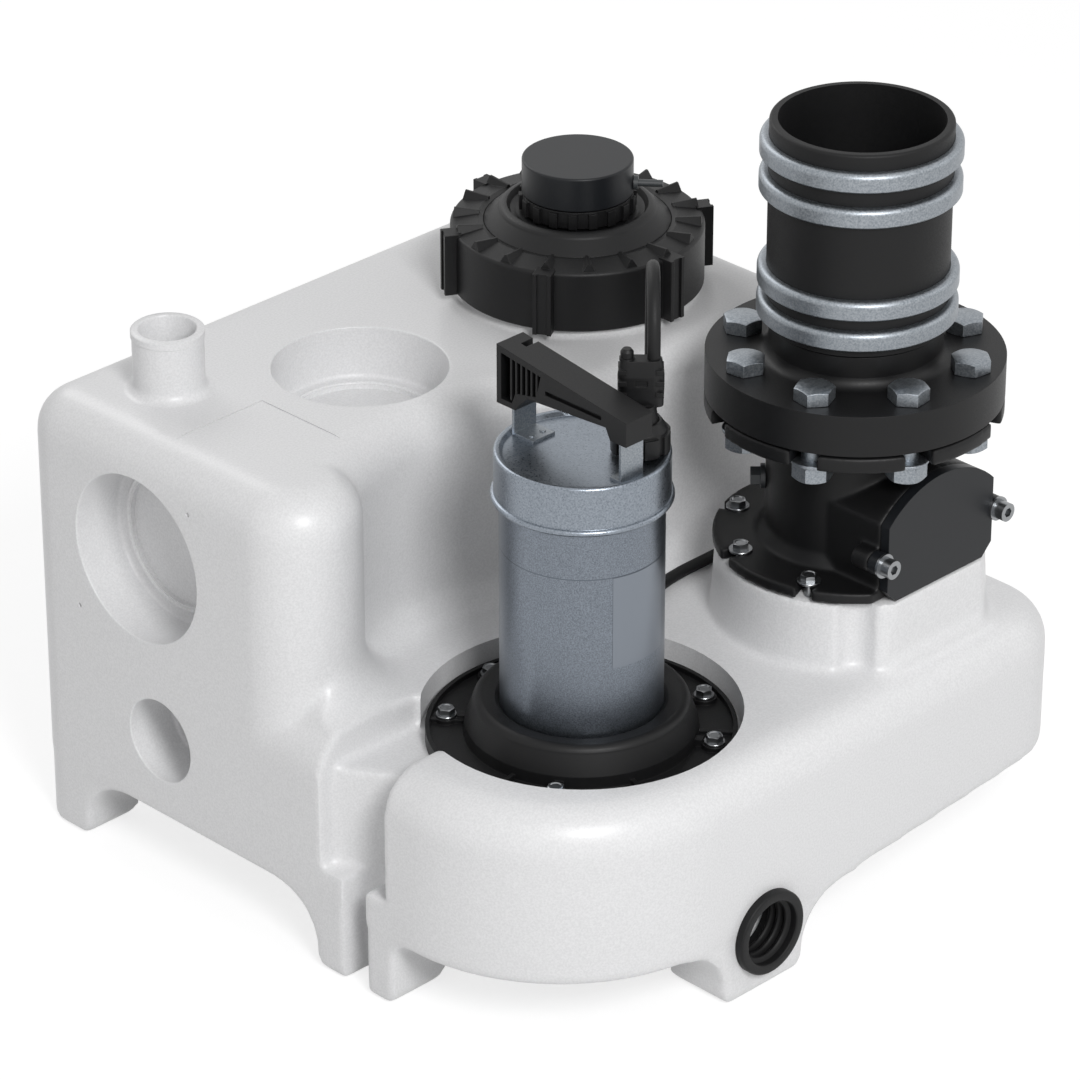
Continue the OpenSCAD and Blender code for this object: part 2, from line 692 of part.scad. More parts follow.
module pump_flange() color("#1c1c1e")
  translate([pump_x, pump_y])
    difference() {
      union() {
        rotate_extrude()
          polygon(concat([[seal_r + 6, well_floor], [flange_r, well_floor], [flange_r, well_floor + 10],
              [flange_r - 3, well_floor + 10], [flange_r - 3, well_floor + pump_flange_t],
              [78, well_floor + pump_flange_t]],
            [[77, well_floor + 14]],
            arc([66, well_floor + 27], 6, 10, 90), [[motor_r + 3, well_floor + 31.5]],
            [[motor_r + gap, well_floor + 30], [motor_r + gap, well_floor + 8], [seal_r + 6, well_floor + 8]]));
        for (a = flange_screw_at) rotate(a) {
          translate([flange_screw_r, 0, well_floor + pump_flange_t - cut]) cylinder(r = 8.5, h = 3 + cut, $fn = 32);
          translate([76, -3, well_floor + pump_flange_t - cut]) cube([6.4, 6, 5 + cut]);
        }
        for (a = [10 : 60 : 350]) rotate(a)
          translate([77, -1.5, well_floor + pump_flange_t - cut]) cube([flange_r - 79, 3, 3 + cut]);
        translate([0, 0, well_floor]) cylinder(r = seal_r + 8, h = 8);
      }
      for (a = flange_screw_at) rotate(a)
        translate([flange_screw_r, 0, well_floor - cut]) cylinder(d = screw_d + 1, h = 12, $fn = 24);
      translate([0, 0, well_floor - cut]) cylinder(r = seal_r + gap, h = 12);
      rotate_extrude() translate([80, well_floor - cut]) square([4.6, 3.4]);
    }

module pump_flange_seal() color("black")
  translate([pump_x, pump_y, 0])
    rotate_extrude() translate([80 + 2.3, well_floor + 0.05]) translate([-2, 0]) square([4, 2.2]);

module hex_screw(d, af, head_h, l)
  union() {
    cylinder(d = af / cos(30), h = head_h, $fn = 6);
    translate([0, 0, -l]) cylinder(d = d, h = l + cut, $fn = 24);
  }

module washer(d_out, d_in, t)
  difference() {
    cylinder(d = d_out, h = t, $fn = 32);
    translate([0, 0, -cut]) cylinder(d = d_in, h = t + 2 * cut, $fn = 24);
  }

module pump_screws() color("silver")
  for (a = flange_screw_at) translate([pump_x, pump_y]) rotate(a)
    translate([flange_screw_r, 0, well_floor + pump_flange_t + 3 + screw_washer_t]) hex_screw(screw_d, 10, 4.4, 20);

module pump_washers() color("silver")
  for (a = flange_screw_at) translate([pump_x, pump_y]) rotate(a)
    translate([flange_screw_r, 0, well_floor + pump_flange_t + 3]) washer(14, screw_d + 0.4, screw_washer_t);

module motor_casing() color("slategray")
  translate([pump_x, pump_y, motor_foot])
    difference() {
      cylinder(r = motor_r, h = motor_top - motor_foot);
      translate([0, 0, -cut]) cylinder(r = motor_r - casing_t, h = deck_h + body_h);
    }

module motor_cap() color("lightslategray")
  translate([pump_x, pump_y, motor_top - 2])
    difference() {
      union() {
        intersection() {
          rotate_extrude()
            polygon(concat([[0, 4], [cap_wall_r, 4]],
              arc([cap_wall_r - 2, motor_cap_h - 2], 2, 0, 90),
              [[cap_wall_r - 4, motor_cap_h], [cap_wall_r - 6, motor_cap_h - cap_dish],
                [0, motor_cap_h - cap_dish]]));
          for (k = [0 : 2]) rotate(-90 + 120 * k)
            translate([-2 * cap_wall_r, -cap_wall_r, 0])
              cube([2 * cap_wall_r + cap_flat, 2 * cap_wall_r, motor_cap_h + cut]);
        }
        rotate_extrude()
          polygon(concat([[motor_r - 2, 0], [cap_wall_r, 0]], arc([cap_wall_r, 2.2], 2.2, -90, 90),
            [[motor_r - 2, 4.4]]));
      }
      translate([0, 0, -cut]) cylinder(r = motor_r + gap, h = 2 + cut);
      translate([0, 0, -cut]) cylinder(r = motor_r - casing_t, h = motor_cap_h - cap_dish - 1.5 + cut);
      translate([plug_x - pump_x, plug_y - pump_y, 0]) cylinder(r = plug_core_r + gap, h = motor_cap_h + cut);
    }

module bearing_plate(r, t, bore)
  difference() {
    union() {
      cylinder(r = r, h = 6);
      cylinder(r = bearing_od / 2 + 6, h = t);
      for (a = [0 : 60 : 300]) rotate(a) translate([bearing_od / 2, -2, 0]) cube([r - bearing_od / 2 - 2, 4, t - 4]);
    }
    translate([0, 0, -cut]) cylinder(r = bore, h = t + 2 * cut);
    translate([0, 0, t - bearing_t]) cylinder(d = bearing_od + 0.1, h = bearing_t + cut);
  }

module lower_bearing_plate() color("silver")
  translate([pump_x, pump_y, lower_plate_z]) bearing_plate(motor_r - casing_t - gap, lower_plate_t, shaft_d / 2 + 3);

module upper_bearing_plate() color("silver")
  translate([pump_x, pump_y, upper_plate_z]) bearing_plate(motor_r - casing_t - gap, upper_plate_t, shaft_d / 2 + 3);

module bearing()
  difference() {
    cylinder(d = bearing_od, h = bearing_t);
    translate([0, 0, -cut]) cylinder(r = shaft_d / 2 + run_fit, h = bearing_t + 2 * cut);
    for (z = [-1, bearing_t - 1]) translate([0, 0, z]) rotate_extrude()
      translate([(shaft_d + bearing_od) / 4 - 2, 0]) square([4, 2]);
  }

module lower_bearing() color("gray")
  translate([pump_x, pump_y, lower_plate_z + lower_plate_t - bearing_t]) bearing();

module upper_bearing() color("gray")
  translate([pump_x, pump_y, upper_plate_z + upper_plate_t - bearing_t]) bearing();

module stator() color("peru")
  translate([pump_x, pump_y, stator_z])
    difference() {
      union() {
        cylinder(r = motor_r - casing_t - gap, h = stator_h);
        translate([0, 0, -14]) cylinder(r = motor_r - 8, h = stator_h + 28);
      }
      translate([0, 0, -20]) cylinder(r = stator_bore_r, h = stator_h + 40);
    }

module rotor_core() color("gray")
  translate([pump_x, pump_y, stator_z])
    difference() {
      cylinder(r = stator_bore_r - air_gap, h = stator_h);
      translate([0, 0, -cut]) cylinder(d = shaft_d + 0.02, h = stator_h + 2 * cut);
    }

module rotor_shaft() color("silver")
  translate([pump_x, pump_y]) {
    translate([0, 0, impeller_z + 13]) cylinder(d = shaft_d, h = upper_plate_z + upper_plate_t + 4 - impeller_z - 13);
    translate([0, 0, shaft_bottom]) cylinder(d = shaft_d - 6, h = upper_plate_z - shaft_bottom);
  }

module shaft_seal() color("dimgray")
  translate([pump_x, pump_y, well_floor - 8])
    difference() {
      union() {
        cylinder(r = seal_r - 2, h = 16);
        translate([0, 0, 8.2]) cylinder(r = seal_r, h = 7.6);
        translate([0, 0, 6.4]) cylinder(r = seal_r + 4, h = 1.4);
      }
      translate([0, 0, -cut]) cylinder(r = shaft_d / 2 + run_fit, h = 30);
    }

// Open vortex impeller: a disc with curved vanes on its lower side
module impeller() color("dimgray")
  translate([pump_x, pump_y])
    difference() {
      union() {
        translate([0, 0, impeller_z + 8]) cylinder(d = impeller_d, h = 5);
        translate([0, 0, impeller_z - 6]) cylinder(r = 12, h = 16);
        for (k = [0 : 7]) rotate(45 * k) translate([0, 0, impeller_z - 4]) vane();
      }
      translate([0, 0, shaft_bottom - cut]) cylinder(d = shaft_d - 6 + 0.02, h = 60);
    }

module vane()
  linear_extrude(12 + cut)
    intersection() {
      circle(d = impeller_d - 2);
      translate([impeller_d * 0.3 + 8, -impeller_d * 0.12]) difference() {
        circle(r = impeller_d * 0.3);
        circle(r = impeller_d * 0.3 - 4);
        translate([-impeller_d, -impeller_d * 2]) square([impeller_d * 2, impeller_d * 2]);
      }
    }

module impeller_nut() color("silver")
  translate([pump_x, pump_y, impeller_z - 6 - 8])
    difference() {
      cylinder(d = 17 / cos(30), h = 8, $fn = 6);
      translate([0, 0, -cut]) cylinder(d = shaft_d - 6 + 0.02, h = 12);
    }

// Handle grip: a wedge-shaped bar along Y, hollow on its left side
module grip_outline()
  polygon([[handle_back, handle_low + 32], [handle_back - handle_l, handle_low + 16],
    [handle_back - handle_l, handle_low - 1], [handle_back - handle_l + 14, handle_low - 1],
    [handle_back - handle_l + 18, handle_low + 7], [handle_back - 28, handle_low + 2],
    [handle_back - 20, handle_low - 6], [handle_back - 17, handle_low - 10],
    [handle_back, handle_low - 10]]);

module handle_grip() color("#1c1c1e")
  translate([pump_x + handle_shift, pump_y]) difference() {
    translate([-handle_w / 2, 0]) rotate([90, 0, 90]) linear_extrude(handle_w) grip_outline();
    translate([-handle_w / 2 - cut, 0]) rotate([90, 0, 90]) linear_extrude(handle_w - 9 + cut)
      difference() {
        polygon([[handle_back - 4, handle_low + 27], [handle_back - 40, handle_low + 22],
          [handle_back - 36, handle_low + 6], [handle_back - 17, handle_low + 2],
          [handle_back - 14, handle_low - 6], [handle_back - 4, handle_low - 6]]);
        for (k = [0 : 5]) translate([handle_back - 14 - 4.6 * k, handle_low - 4]) square([1.6, 40]);
      }
    translate([-handle_w / 2 - cut, handle_back - handle_l + 22, handle_low + 10.5])
      cube([4, handle_l - 66, 3]);
    translate([1, handle_back - 14, handle_low + 24]) cube([handle_w, 5, 12]);
  }

module handle_brackets() color("silver")
  translate([pump_x + handle_shift, pump_y]) {
    translate([-handle_w / 2 + 2, handle_back - 19, motor_cap_top - cap_dish]) {
      translate([0, 5, 0]) cube([handle_w - 4, 2, handle_low - 10 - motor_cap_top + cap_dish]);
      translate([0, -12, 0]) cube([handle_w - 4, 18, 2]);
      for (x = [5, handle_w - 9]) translate([x, -6, 2]) cylinder(d = 4, h = 0.8, $fn = 24);
    }
    translate([-handle_w / 2 + 2, handle_back - handle_l + 6, motor_cap_top - cap_dish]) {
      cube([handle_w - 4, 2, handle_low - 1 - motor_cap_top + cap_dish]);
      cube([handle_w - 4, 10, 2]);
      translate([5, 6, 2]) cylinder(d = 4, h = 0.8, $fn = 24);
    }
  }

module at_plug() translate([plug_x, plug_y]) rotate(plug_a) children();

module plug_collar() color("#1c1c1e")
  at_plug() translate([0, 0, motor_cap_top + gap])
    difference() {
      union() {
        cylinder(r = collar_r - 2, h = collar_h - 2);
        for (k = [0 : 7]) rotate(45 * k + 22.5) intersection() {
          translate([0, -5, 0]) cube([collar_r, 10, collar_h - 4]);
          cylinder(r = collar_r, h = collar_h);
        }
        translate([0, 0, collar_h - 2 - gap]) cylinder(r1 = collar_r - 2, r2 = collar_r - 6, h = 6);
      }
      translate([0, 0, -cut]) cylinder(r = plug_core_r + 2, h = collar_h + 20);
    }

module cable_plug() color("#232325")
  at_plug() {
    translate([0, 0, collar_z - 8]) cylinder(r = plug_core_r, h = 10);
    translate([0, 0, collar_z]) cylinder(r = plug_core_r + 1.7, h = collar_h + 6);
    translate([0, 0, collar_z + collar_h + 5])
      cylinder(r1 = plug_core_r + 1.7, r2 = plug_core_r - 0.5, h = plug_z - collar_z - collar_h - 5 + cut);
    difference() {
      union() {
        hull() {
          translate([-10.5, 0, plug_z]) cylinder(r = 4, h = 1, $fn = 32);
          translate([10.5, 0, plug_z]) cylinder(r = 4, h = 1, $fn = 32);
          translate([-8, 0, plug_z + 14]) cylinder(r = 7, h = 8, $fn = 32);
          translate([8, 0, plug_z + 14]) cylinder(r = 7, h = 8, $fn = 32);
          translate([-8, 0, plug_z + plug_h - 4]) cylinder(r = 5.5, h = 4, $fn = 32);
          translate([8, 0, plug_z + plug_h - 4]) cylinder(r = 5.5, h = 4, $fn = 32);
        }
        for (x = [-12, 12], k = [0 : 2]) translate([x - 2.6, -7, plug_z + 8 + 8 * k]) cube([5.2, 14, 3.4]);
      }
      translate([-4, -10, plug_z + 16]) cube([8, 4, 4]);
    }
    translate([stub_off, 0, plug_z + plug_h - cut]) cylinder(r = 5, h = 1 + cut, $fn = 32);
  }

module blanking_plug() color("black")
  at_plug() translate([stub_off, 0, plug_z + plug_h + 1]) {
    cylinder(d = cable_d, h = 4, $fn = 32);
    translate([0, 0, 4 - 0.01]) cylinder(r1 = cable_d / 2, r2 = cable_d / 2 - 1.5, h = 2, $fn = 32);
  }

module swept_tube(p, side) {
  frames = run_frames(p, side);
  n = cable_sides;
  rings = [for (i = [0 : len(p) - 1], k = [0 : n - 1])
    p[i] + cable_r * (cos(360 * k / n) * frames[i][1] + sin(360 * k / n) * cross(frames[i][0], frames[i][1]))];
  last = n * (len(p) - 1);
  walls = [for (i = [0 : len(p) - 2], k = [0 : n - 1]) let (a = n * i + k, b = n * i + (k + 1) % n)
    each [[a, a + n, b + n], [a, b + n, b]]];
  polyhedron(rings, concat([[for (k = [0 : n - 1]) k]], walls, [[for (k = [0 : n - 1]) last + n - 1 - k]]));
}

module power_cable() color("black") {
  swept_tube(cable_run, [1, -1, 0]);
  swept_tube(cable_tail, [1, 0, 0]);
}

module cable_coil() color("black")
  translate([coil_x, coil_y, 0.3]) rotate_extrude()
    translate([coil_mid_r - coil_columns * cable_r, 0]) square([coil_columns * cable_d, coil_layers * cable_d]);

module mains_plug() color("black")
  translate([coil_x + coil_mid_r + cable_d, coil_y + 52, 19.4]) rotate([-90, 0, 0]) {
    cylinder(r1 = cable_r + 1.2, r2 = cable_r + 4, h = 26);
    translate([0, 0, 25]) cylinder(r = 15, h = 8);
    translate([0, 0, 32]) cylinder(r = 18, h = 26);
    translate([0, 0, 57]) cylinder(r = 19, h = 5);
    for (s = [-1, 1]) translate([9.5 * s, 0, 61]) cylinder(d = 4.8, h = 19, $fn = 24);
  }

module valve_gasket() color("black")
  translate([disch_x, disch_y, pedestal_top])
    difference() {
      intersection() {
        cylinder(r = valve_plate_r - 22, h = valve_gasket_t);
        translate([-flange_r, -box_front, 0]) cube([2 * flange_r, 2 * flange_r, valve_gasket_t]);
      }
      translate([0, 0, -cut]) cylinder(r = line_d / 2, h = 5);
    }

// Face outline of the inspection box, arched at the top
module box_outline(t) {
  r = (pow(box_w / 2, 2) + pow(box_arch, 2)) / (2 * box_arch);
  intersection() {
    polygon([[-box_w / 2 + 9, t], [box_w / 2 - 9, t], [box_w / 2 - t, 9], [box_w / 2 - t, box_side_h + box_arch],
      [-box_w / 2 + t, box_side_h + box_arch], [-box_w / 2 + t, 9]]);
    translate([0, box_side_h + box_arch - r]) circle(r - t, $fn = 128);
  }
}

module valve_body() color("#1c1c1e")
  translate([disch_x, disch_y])
    difference() {
      union() {
        intersection() {
          translate([0, 0, valve_z]) cylinder(r = valve_plate_r, h = valve_plate_t);
          translate([-flange_r, -box_front, 0]) cube([2 * flange_r, 2 * flange_r, body_h]);
        }
        translate([0, 0, valve_z]) cylinder(r = body_r, h = valve_h);
        translate([0, 0, valve_z + valve_plate_t - cut]) cylinder(r1 = body_r + 6, r2 = body_r, h = 10);
        translate([0, 0, valve_top - valve_flange_t]) cylinder(r = flange_d / 2, h = valve_flange_t);
        translate([0, 0, valve_top - valve_flange_t - 14]) cylinder(r1 = body_r, r2 = body_r + 3, h = 14.5);
        translate([0, 0, valve_z]) rotate([90, 0, 0]) linear_extrude(box_front) box_outline(0);
        for (s = [-1, 1]) translate([s * cover_screw_x, -box_front, cover_screw_z]) rotate([-90, 0, 0])
          cylinder(r = 8, h = 15, $fn = 32);
      }
      translate([0, 0, seat_z - 2]) cylinder(r = body_bore_r, h = valve_h);
      translate([0, 0, valve_z - cut]) cylinder(r = seat_bore_r, h = valve_h);
      translate([0, 0, valve_z]) rotate([90, 0, 0]) linear_extrude(box_front + cut)
        intersection() {
          box_outline(7);
          translate([-box_w, seat_z - valve_z - 2]) square([2 * box_w, 200]);
        }
      for (a = valve_screw_at) rotate(a) hull() {
        translate([valve_screw_r, 0, valve_z - cut]) cylinder(d = 10, h = valve_plate_t + 2, $fn = 32);
        translate([valve_screw_r + 20, 0, valve_z - cut]) cylinder(d = 10, h = valve_plate_t + 2, $fn = 32);
      }
      for (k = [0 : 7]) rotate(22.5 + 45 * k) {
        translate([bolt_r, 0, valve_top - valve_flange_t - cut]) cylinder(d = bolt_d + 3, h = valve_flange_t + 2);
        translate([bolt_r, -(bolt_d + 3) / 2, valve_top - valve_flange_t - cut])
          cube([30, bolt_d + 3, valve_flange_t + 2]);
      }
      for (s = [-1, 1]) translate([s * cover_screw_x, -box_front - cut, cover_screw_z]) rotate([-90, 0, 0])
        cylinder(d = cover_screw_d + gap, h = 22, $fn = 24);
      translate([-box_w / 2 + 3, flap_pin_y - disch_y, flap_pin_z]) rotate([0, 90, 0])
        cylinder(r = flap_pin_r + 0.05, h = box_w - 6);
    }

module valve_flap() color("saddlebrown")
  difference() {
    union() {
      translate([disch_x, disch_y, seat_z - 2 + gap]) cylinder(r = flap_r, h = flap_t);
      translate([disch_x, disch_y, seat_z - 2 + gap + flap_t - cut]) cylinder(r = 14, h = 5);
      translate([disch_x - 18, flap_pin_y, seat_z - 2 + gap + 3]) cube([36, 50, 6]);
      for (s = [-1, 1]) translate([disch_x + s * 18 - 6, flap_pin_y, flap_pin_z]) rotate([0, 90, 0])
        cylinder(r = 7, h = 12);
    }
    translate([disch_x - 40, flap_pin_y, flap_pin_z]) rotate([0, 90, 0]) cylinder(r = flap_pin_r + run_fit, h = 80);
  }

module flap_pin() color("silver")
  translate([disch_x - box_w / 2 + 3.5, flap_pin_y, flap_pin_z]) rotate([0, 90, 0])
    cylinder(r = flap_pin_r, h = box_w - 7);

module cover_gasket() color("black")
  translate([disch_x, disch_y - box_front, valve_z]) rotate([90, 0, 0]) linear_extrude(cover_gasket_t)
    difference() {
      box_outline(0.5);
      intersection() {
        box_outline(7);
        translate([-box_w, seat_z - valve_z - 2]) square([2 * box_w, 200]);
      }
    }

module valve_cover() color("#34383c")
  translate([disch_x, disch_y - box_front - cover_gasket_t, valve_z]) rotate([90, 0, 0])
    difference() {
      linear_extrude(cover_t) {
        box_outline(0);
        for (s = [-1, 1]) translate([s * cover_screw_x, cover_screw_z - valve_z]) circle(8);
      }
      for (s = [-1, 1]) translate([s * cover_screw_x, cover_screw_z - valve_z, -cut])
        cylinder(d = cover_screw_d + 1, h = cover_t + 2 * cut, $fn = 24);
    }

module at_cover_screws()
  for (s = [-1, 1])
    translate([disch_x + s * cover_screw_x, disch_y - box_front - cover_gasket_t - cover_t, cover_screw_z])
      rotate([90, 0, 0]) children();

module cover_washers() color("silver")
  at_cover_screws() washer(17, cover_screw_d + 0.4, 1.6);

module cover_screws() color("silver")
  at_cover_screws() translate([0, 0, 1.6])
    difference() {
      union() {
        cylinder(d = 13, h = 8, $fn = 32);
        translate([0, 0, -24]) cylinder(d = cover_screw_d, h = 25, $fn = 24);
      }
      translate([0, 0, 4]) cylinder(d = 6 / cos(30), h = 5, $fn = 6);
    }

module valve_screws() color("silver")
  for (a = valve_screw_at) translate([disch_x, disch_y]) rotate(a)
    translate([valve_screw_r, 0, valve_z + valve_plate_t + screw_washer_t]) hex_screw(screw_d, 10, 4.4, 26);

module valve_washers() color("silver")
  for (a = valve_screw_at) translate([disch_x, disch_y]) rotate(a)
    translate([valve_screw_r, 0, valve_z + valve_plate_t]) washer(16, screw_d + 0.4, screw_washer_t);

module vent_screw() color("gray")
  translate([disch_x, disch_y, valve_z + 48]) rotate(135) translate([body_r, 0, 0]) rotate([0, 90, 0]) {
    translate([0, 0, 0.2]) cylinder(d = 17, h = 3, $fn = 32);
    translate([0, 0, 3]) cylinder(d = 12 / cos(30), h = 7, $fn = 6);
  }

module flange_gasket() color("gray")
  translate([disch_x, disch_y, valve_top])
    difference() {
      cylinder(r = bolt_r - bolt_d / 2 - 2, h = flange_gasket_t);
      translate([0, 0, -cut]) cylinder(r = body_bore_r, h = 5);
    }

module adapter_flange() color("#1c1c1e")
  translate([disch_x, disch_y])
    difference() {
      union() {
        translate([0, 0, adapter_z]) cylinder(d = flange_d, h = adapter_t);
        translate([0, 0, adapter_top - cut]) cylinder(r = hub_r - 4, h = hub_h - 3);
        translate([0, 0, adapter_top - cut]) rotate_extrude() translate([hub_r - 5, 0]) difference() {
          square([9, 8]);
          translate([9, 9]) circle(8);
        }
        translate([0, 0, adapter_top]) cylinder(r = spigot_r, h = spigot_h);
      }
      translate([0, 0, adapter_z - cut]) cylinder(r = body_bore_r, h = body_h);
      for (k = [0 : 7]) rotate(22.5 + 45 * k)
        translate([bolt_r, 0, adapter_z - cut]) cylinder(d = bolt_d + 2, h = adapter_t + 2 * cut);
    }

module at_flange_bolts()
  for (k = [0 : 7]) translate([disch_x, disch_y]) rotate(22.5 + 45 * k) translate([bolt_r, 0]) children();

module flange_bolts() color("lightgray")
  at_flange_bolts() translate([0, 0, adapter_top])
    hex_screw(bolt_d, bolt_d * 1.5, bolt_head_h, adapter_t + valve_flange_t + bolt_washer_t + nut_h);

module bolt_washers() color("lightgray")
  at_flange_bolts() translate([0, 0, valve_top - valve_flange_t - bolt_washer_t])
    washer(30, bolt_d + 0.6, bolt_washer_t);

module flange_nuts() color("lightgray")
  at_flange_bolts() translate([0, 0, valve_top - valve_flange_t - bolt_washer_t - nut_h])
    difference() {
      cylinder(d = head_d, h = nut_h, $fn = 6);
      translate([0, 0, -cut]) cylinder(d = bolt_d + 0.1, h = nut_h + 2 * cut);
    }

module discharge_hose() color("#18181a")
  translate([disch_x, disch_y, hose_z])
    rotate_extrude()
      polygon(concat([[spigot_r + gap, 0], [hose_r, 0]], arc([hose_r - 2, hose_l - 2], 2, 0, 90),
        [[hose_id / 2, hose_l], [hose_id / 2, adapter_top + spigot_h + 1 - hose_z],
          [spigot_r + gap, adapter_top + spigot_h + 1 - hose_z]]));

module hose_clamps() color("lightgray")
  for (z = band_z) translate([disch_x, disch_y, z]) {
    rotate_extrude()
      polygon(concat([[hose_r + 0.1, 0], [band_r - 1, 0], [band_r, 1]],
        arc([band_r - 4, band_w - 4], 4, 0, 90), [[hose_r + 0.1, band_w]]));
  }

module clamp_screws() color("silver")
  for (z = band_z) translate([disch_x, disch_y, z + band_w / 2]) rotate(45) translate([band_r + 5, -16, 0])
    rotate([-90, 0, 0]) {
      cylinder(d = 7, h = 32, $fn = 24);
      translate([0, 0, -5]) cylinder(d = 11, h = 5.5, $fn = 6);
      for (z = [6, 20]) translate([-4.7, -5, z]) cube([7, 10, 8]);
    }

module cap_ring() color("#1c1c1e")
  translate([cap_x, cap_y, ring_z])
    difference() {
      union() {
        rotate_extrude()
          polygon(concat([[neck_r + gap, 0], [ring_r - 1, 0], [ring_r, 1]],
            arc([ring_r - 3, ring_h - 5], 3, 0, 60),
            [[ring_open_r + 4, ring_h], [ring_open_r, ring_h - 1], [ring_open_r, ring_h - ring_lip_t],
              [neck_r + gap, ring_h - ring_lip_t]]));
        for (k = [0 : ring_lugs - 1]) rotate(30 + 360 / ring_lugs * k)
          translate([ring_r - 4, -lug_w / 2, 0]) cube([lug_l + 4, lug_w, ring_h - 1]);
        for (k = [0 : ring_lugs * (ribs_between + 1) - 1]) rotate(30 + 360 / (ring_lugs * (ribs_between + 1)) * k)
          translate([ring_open_r + 3, 0, ring_h - 4]) rotate([0, -5, 0]) rotate([90, 0, 90])
            linear_extrude(ring_r - ring_open_r - 5) polygon([[-4.5, 0], [4.5, 0], [0.8, 6], [-0.8, 6]]);
      }
      for (k = [0 : ring_lugs - 1]) rotate(30 + 360 / ring_lugs * k)
        translate([ring_r + lug_l - 1.2, -lug_w / 2 + 3, -cut]) cube([3, lug_w - 6, ring_h + 2]);
      translate([0, 0, -cut]) cylinder(r = neck_r + gap, h = ring_h - ring_lip_t + cut);
    }

module cap_insert() color("#202022")
  translate([cap_x, cap_y])
    rotate_extrude()
      polygon(concat([[level_pipe_r + gap, ring_top + 3], [45, ring_top], [60, body_h + neck_h + 2]],
        [[neck_r - 0.5, body_h + neck_h + 2], [neck_r - 0.5, body_h + neck_h + 6.5],
          [ring_open_r - 0.4, body_h + neck_h + 6.5],
          [ring_open_r - 0.4, ring_top - 1]],
        arc([ring_open_r - 16, insert_top - 7], 7, 30, 90),
        [[sensor_r + 8, insert_top - 4], [sensor_r + 4, ring_top + 6], [level_pipe_r + gap, ring_top + 6]]));

module cap_seal() color("black")
  translate([cap_x, cap_y, body_h + neck_h]) difference() {
    cylinder(r = neck_r - 0.5, h = 2);
    translate([0, 0, -cut]) cylinder(r = neck_r - 5.5, h = 5);
  }

module level_pipe() color("dimgray")
  translate([cap_x, cap_y, level_pipe_foot]) difference() {
    union() {
      cylinder(r = level_pipe_r, h = ring_top + 7.5 - level_pipe_foot);
      translate([0, 0, ring_top + 6 - level_pipe_foot]) cylinder(r = level_pipe_r + 3, h = 1.5);
    }
    translate([0, 0, -cut]) cylinder(r = level_pipe_r - 3, h = body_h);
  }

module sensor_ring() color("#1c1c1e")
  translate([cap_x, cap_y, ring_top + 8])
    difference() {
      union() {
        cylinder(r = sensor_r, h = 12);
        for (k = [0 : 17]) rotate(20 * k) translate([sensor_r - 2, -3, 0]) cube([4, 6, 11]);
      }
      translate([0, 0, -cut]) cylinder(r = sensor_r - 8, h = 20);
    }

module sensor_cover() color("#2c2f31")
  translate([cap_x, cap_y]) {
    translate([0, 0, ring_top + 7.5]) cylinder(r = sensor_r - 9, h = sensor_z - ring_top - 7);
    translate([0, 0, sensor_z]) rotate_extrude()
      polygon(concat([[0, 0], [sensor_r, 0]], arc([sensor_r - 1.5, sensor_top - sensor_z - 1.5], 1.5, 0, 90),
        [[0, sensor_top - sensor_z]]));
  }

module hose_nipples() color("gray")
  translate([cap_x, cap_y, sensor_z + 6]) {
    rotate(-50) translate([sensor_r + 0.2, 0, 0]) rotate([0, 90, 0]) {
      cylinder(d = 10, h = 3, $fn = 32);
      cylinder(d = 5, h = 20, $fn = 32);
    }
  }

tank();
drain_sleeve();
pump_housing();
outlet_pipe();
outlet_seal();
inlet_grommet();
pump_flange();
pump_flange_seal();
pump_screws();
pump_washers();
motor_casing();
motor_cap();
lower_bearing_plate();
upper_bearing_plate();
lower_bearing();
upper_bearing();
stator();
rotor_core();
rotor_shaft();
shaft_seal();
impeller();
impeller_nut();
handle_grip();
handle_brackets();
plug_collar();
cable_plug();
blanking_plug();
power_cable();
cable_coil();
mains_plug();
valve_gasket();
valve_body();
valve_flap();
flap_pin();
valve_cover();
cover_gasket();
cover_screws();
cover_washers();
valve_screws();
valve_washers();
vent_screw();
flange_gasket();
adapter_flange();
flange_bolts();
bolt_washers();
flange_nuts();
discharge_hose();
hose_clamps();
clamp_screws();
cap_ring();
cap_insert();
cap_seal();
level_pipe();
sensor_cover();
sensor_ring();
hose_nipples();
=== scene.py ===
import json
import math

import bmesh
import bpy
from mathutils import Matrix, Vector


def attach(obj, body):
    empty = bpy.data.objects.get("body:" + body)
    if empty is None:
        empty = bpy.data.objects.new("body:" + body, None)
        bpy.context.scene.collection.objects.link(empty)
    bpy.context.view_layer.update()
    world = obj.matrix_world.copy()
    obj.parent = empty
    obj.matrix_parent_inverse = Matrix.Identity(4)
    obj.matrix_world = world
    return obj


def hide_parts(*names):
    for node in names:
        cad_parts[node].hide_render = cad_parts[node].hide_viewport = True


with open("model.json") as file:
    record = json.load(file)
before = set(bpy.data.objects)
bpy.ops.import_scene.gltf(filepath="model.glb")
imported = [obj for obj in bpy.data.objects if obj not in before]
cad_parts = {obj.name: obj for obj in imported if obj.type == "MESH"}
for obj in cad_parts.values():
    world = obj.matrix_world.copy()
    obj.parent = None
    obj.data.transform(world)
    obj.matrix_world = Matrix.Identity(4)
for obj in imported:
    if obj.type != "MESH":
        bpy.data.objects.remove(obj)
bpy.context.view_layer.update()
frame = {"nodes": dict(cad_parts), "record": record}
mm = 0.001
up, forward, leftward = (0, 0, 1), (0, -1, 0), (-1, 0, 0)

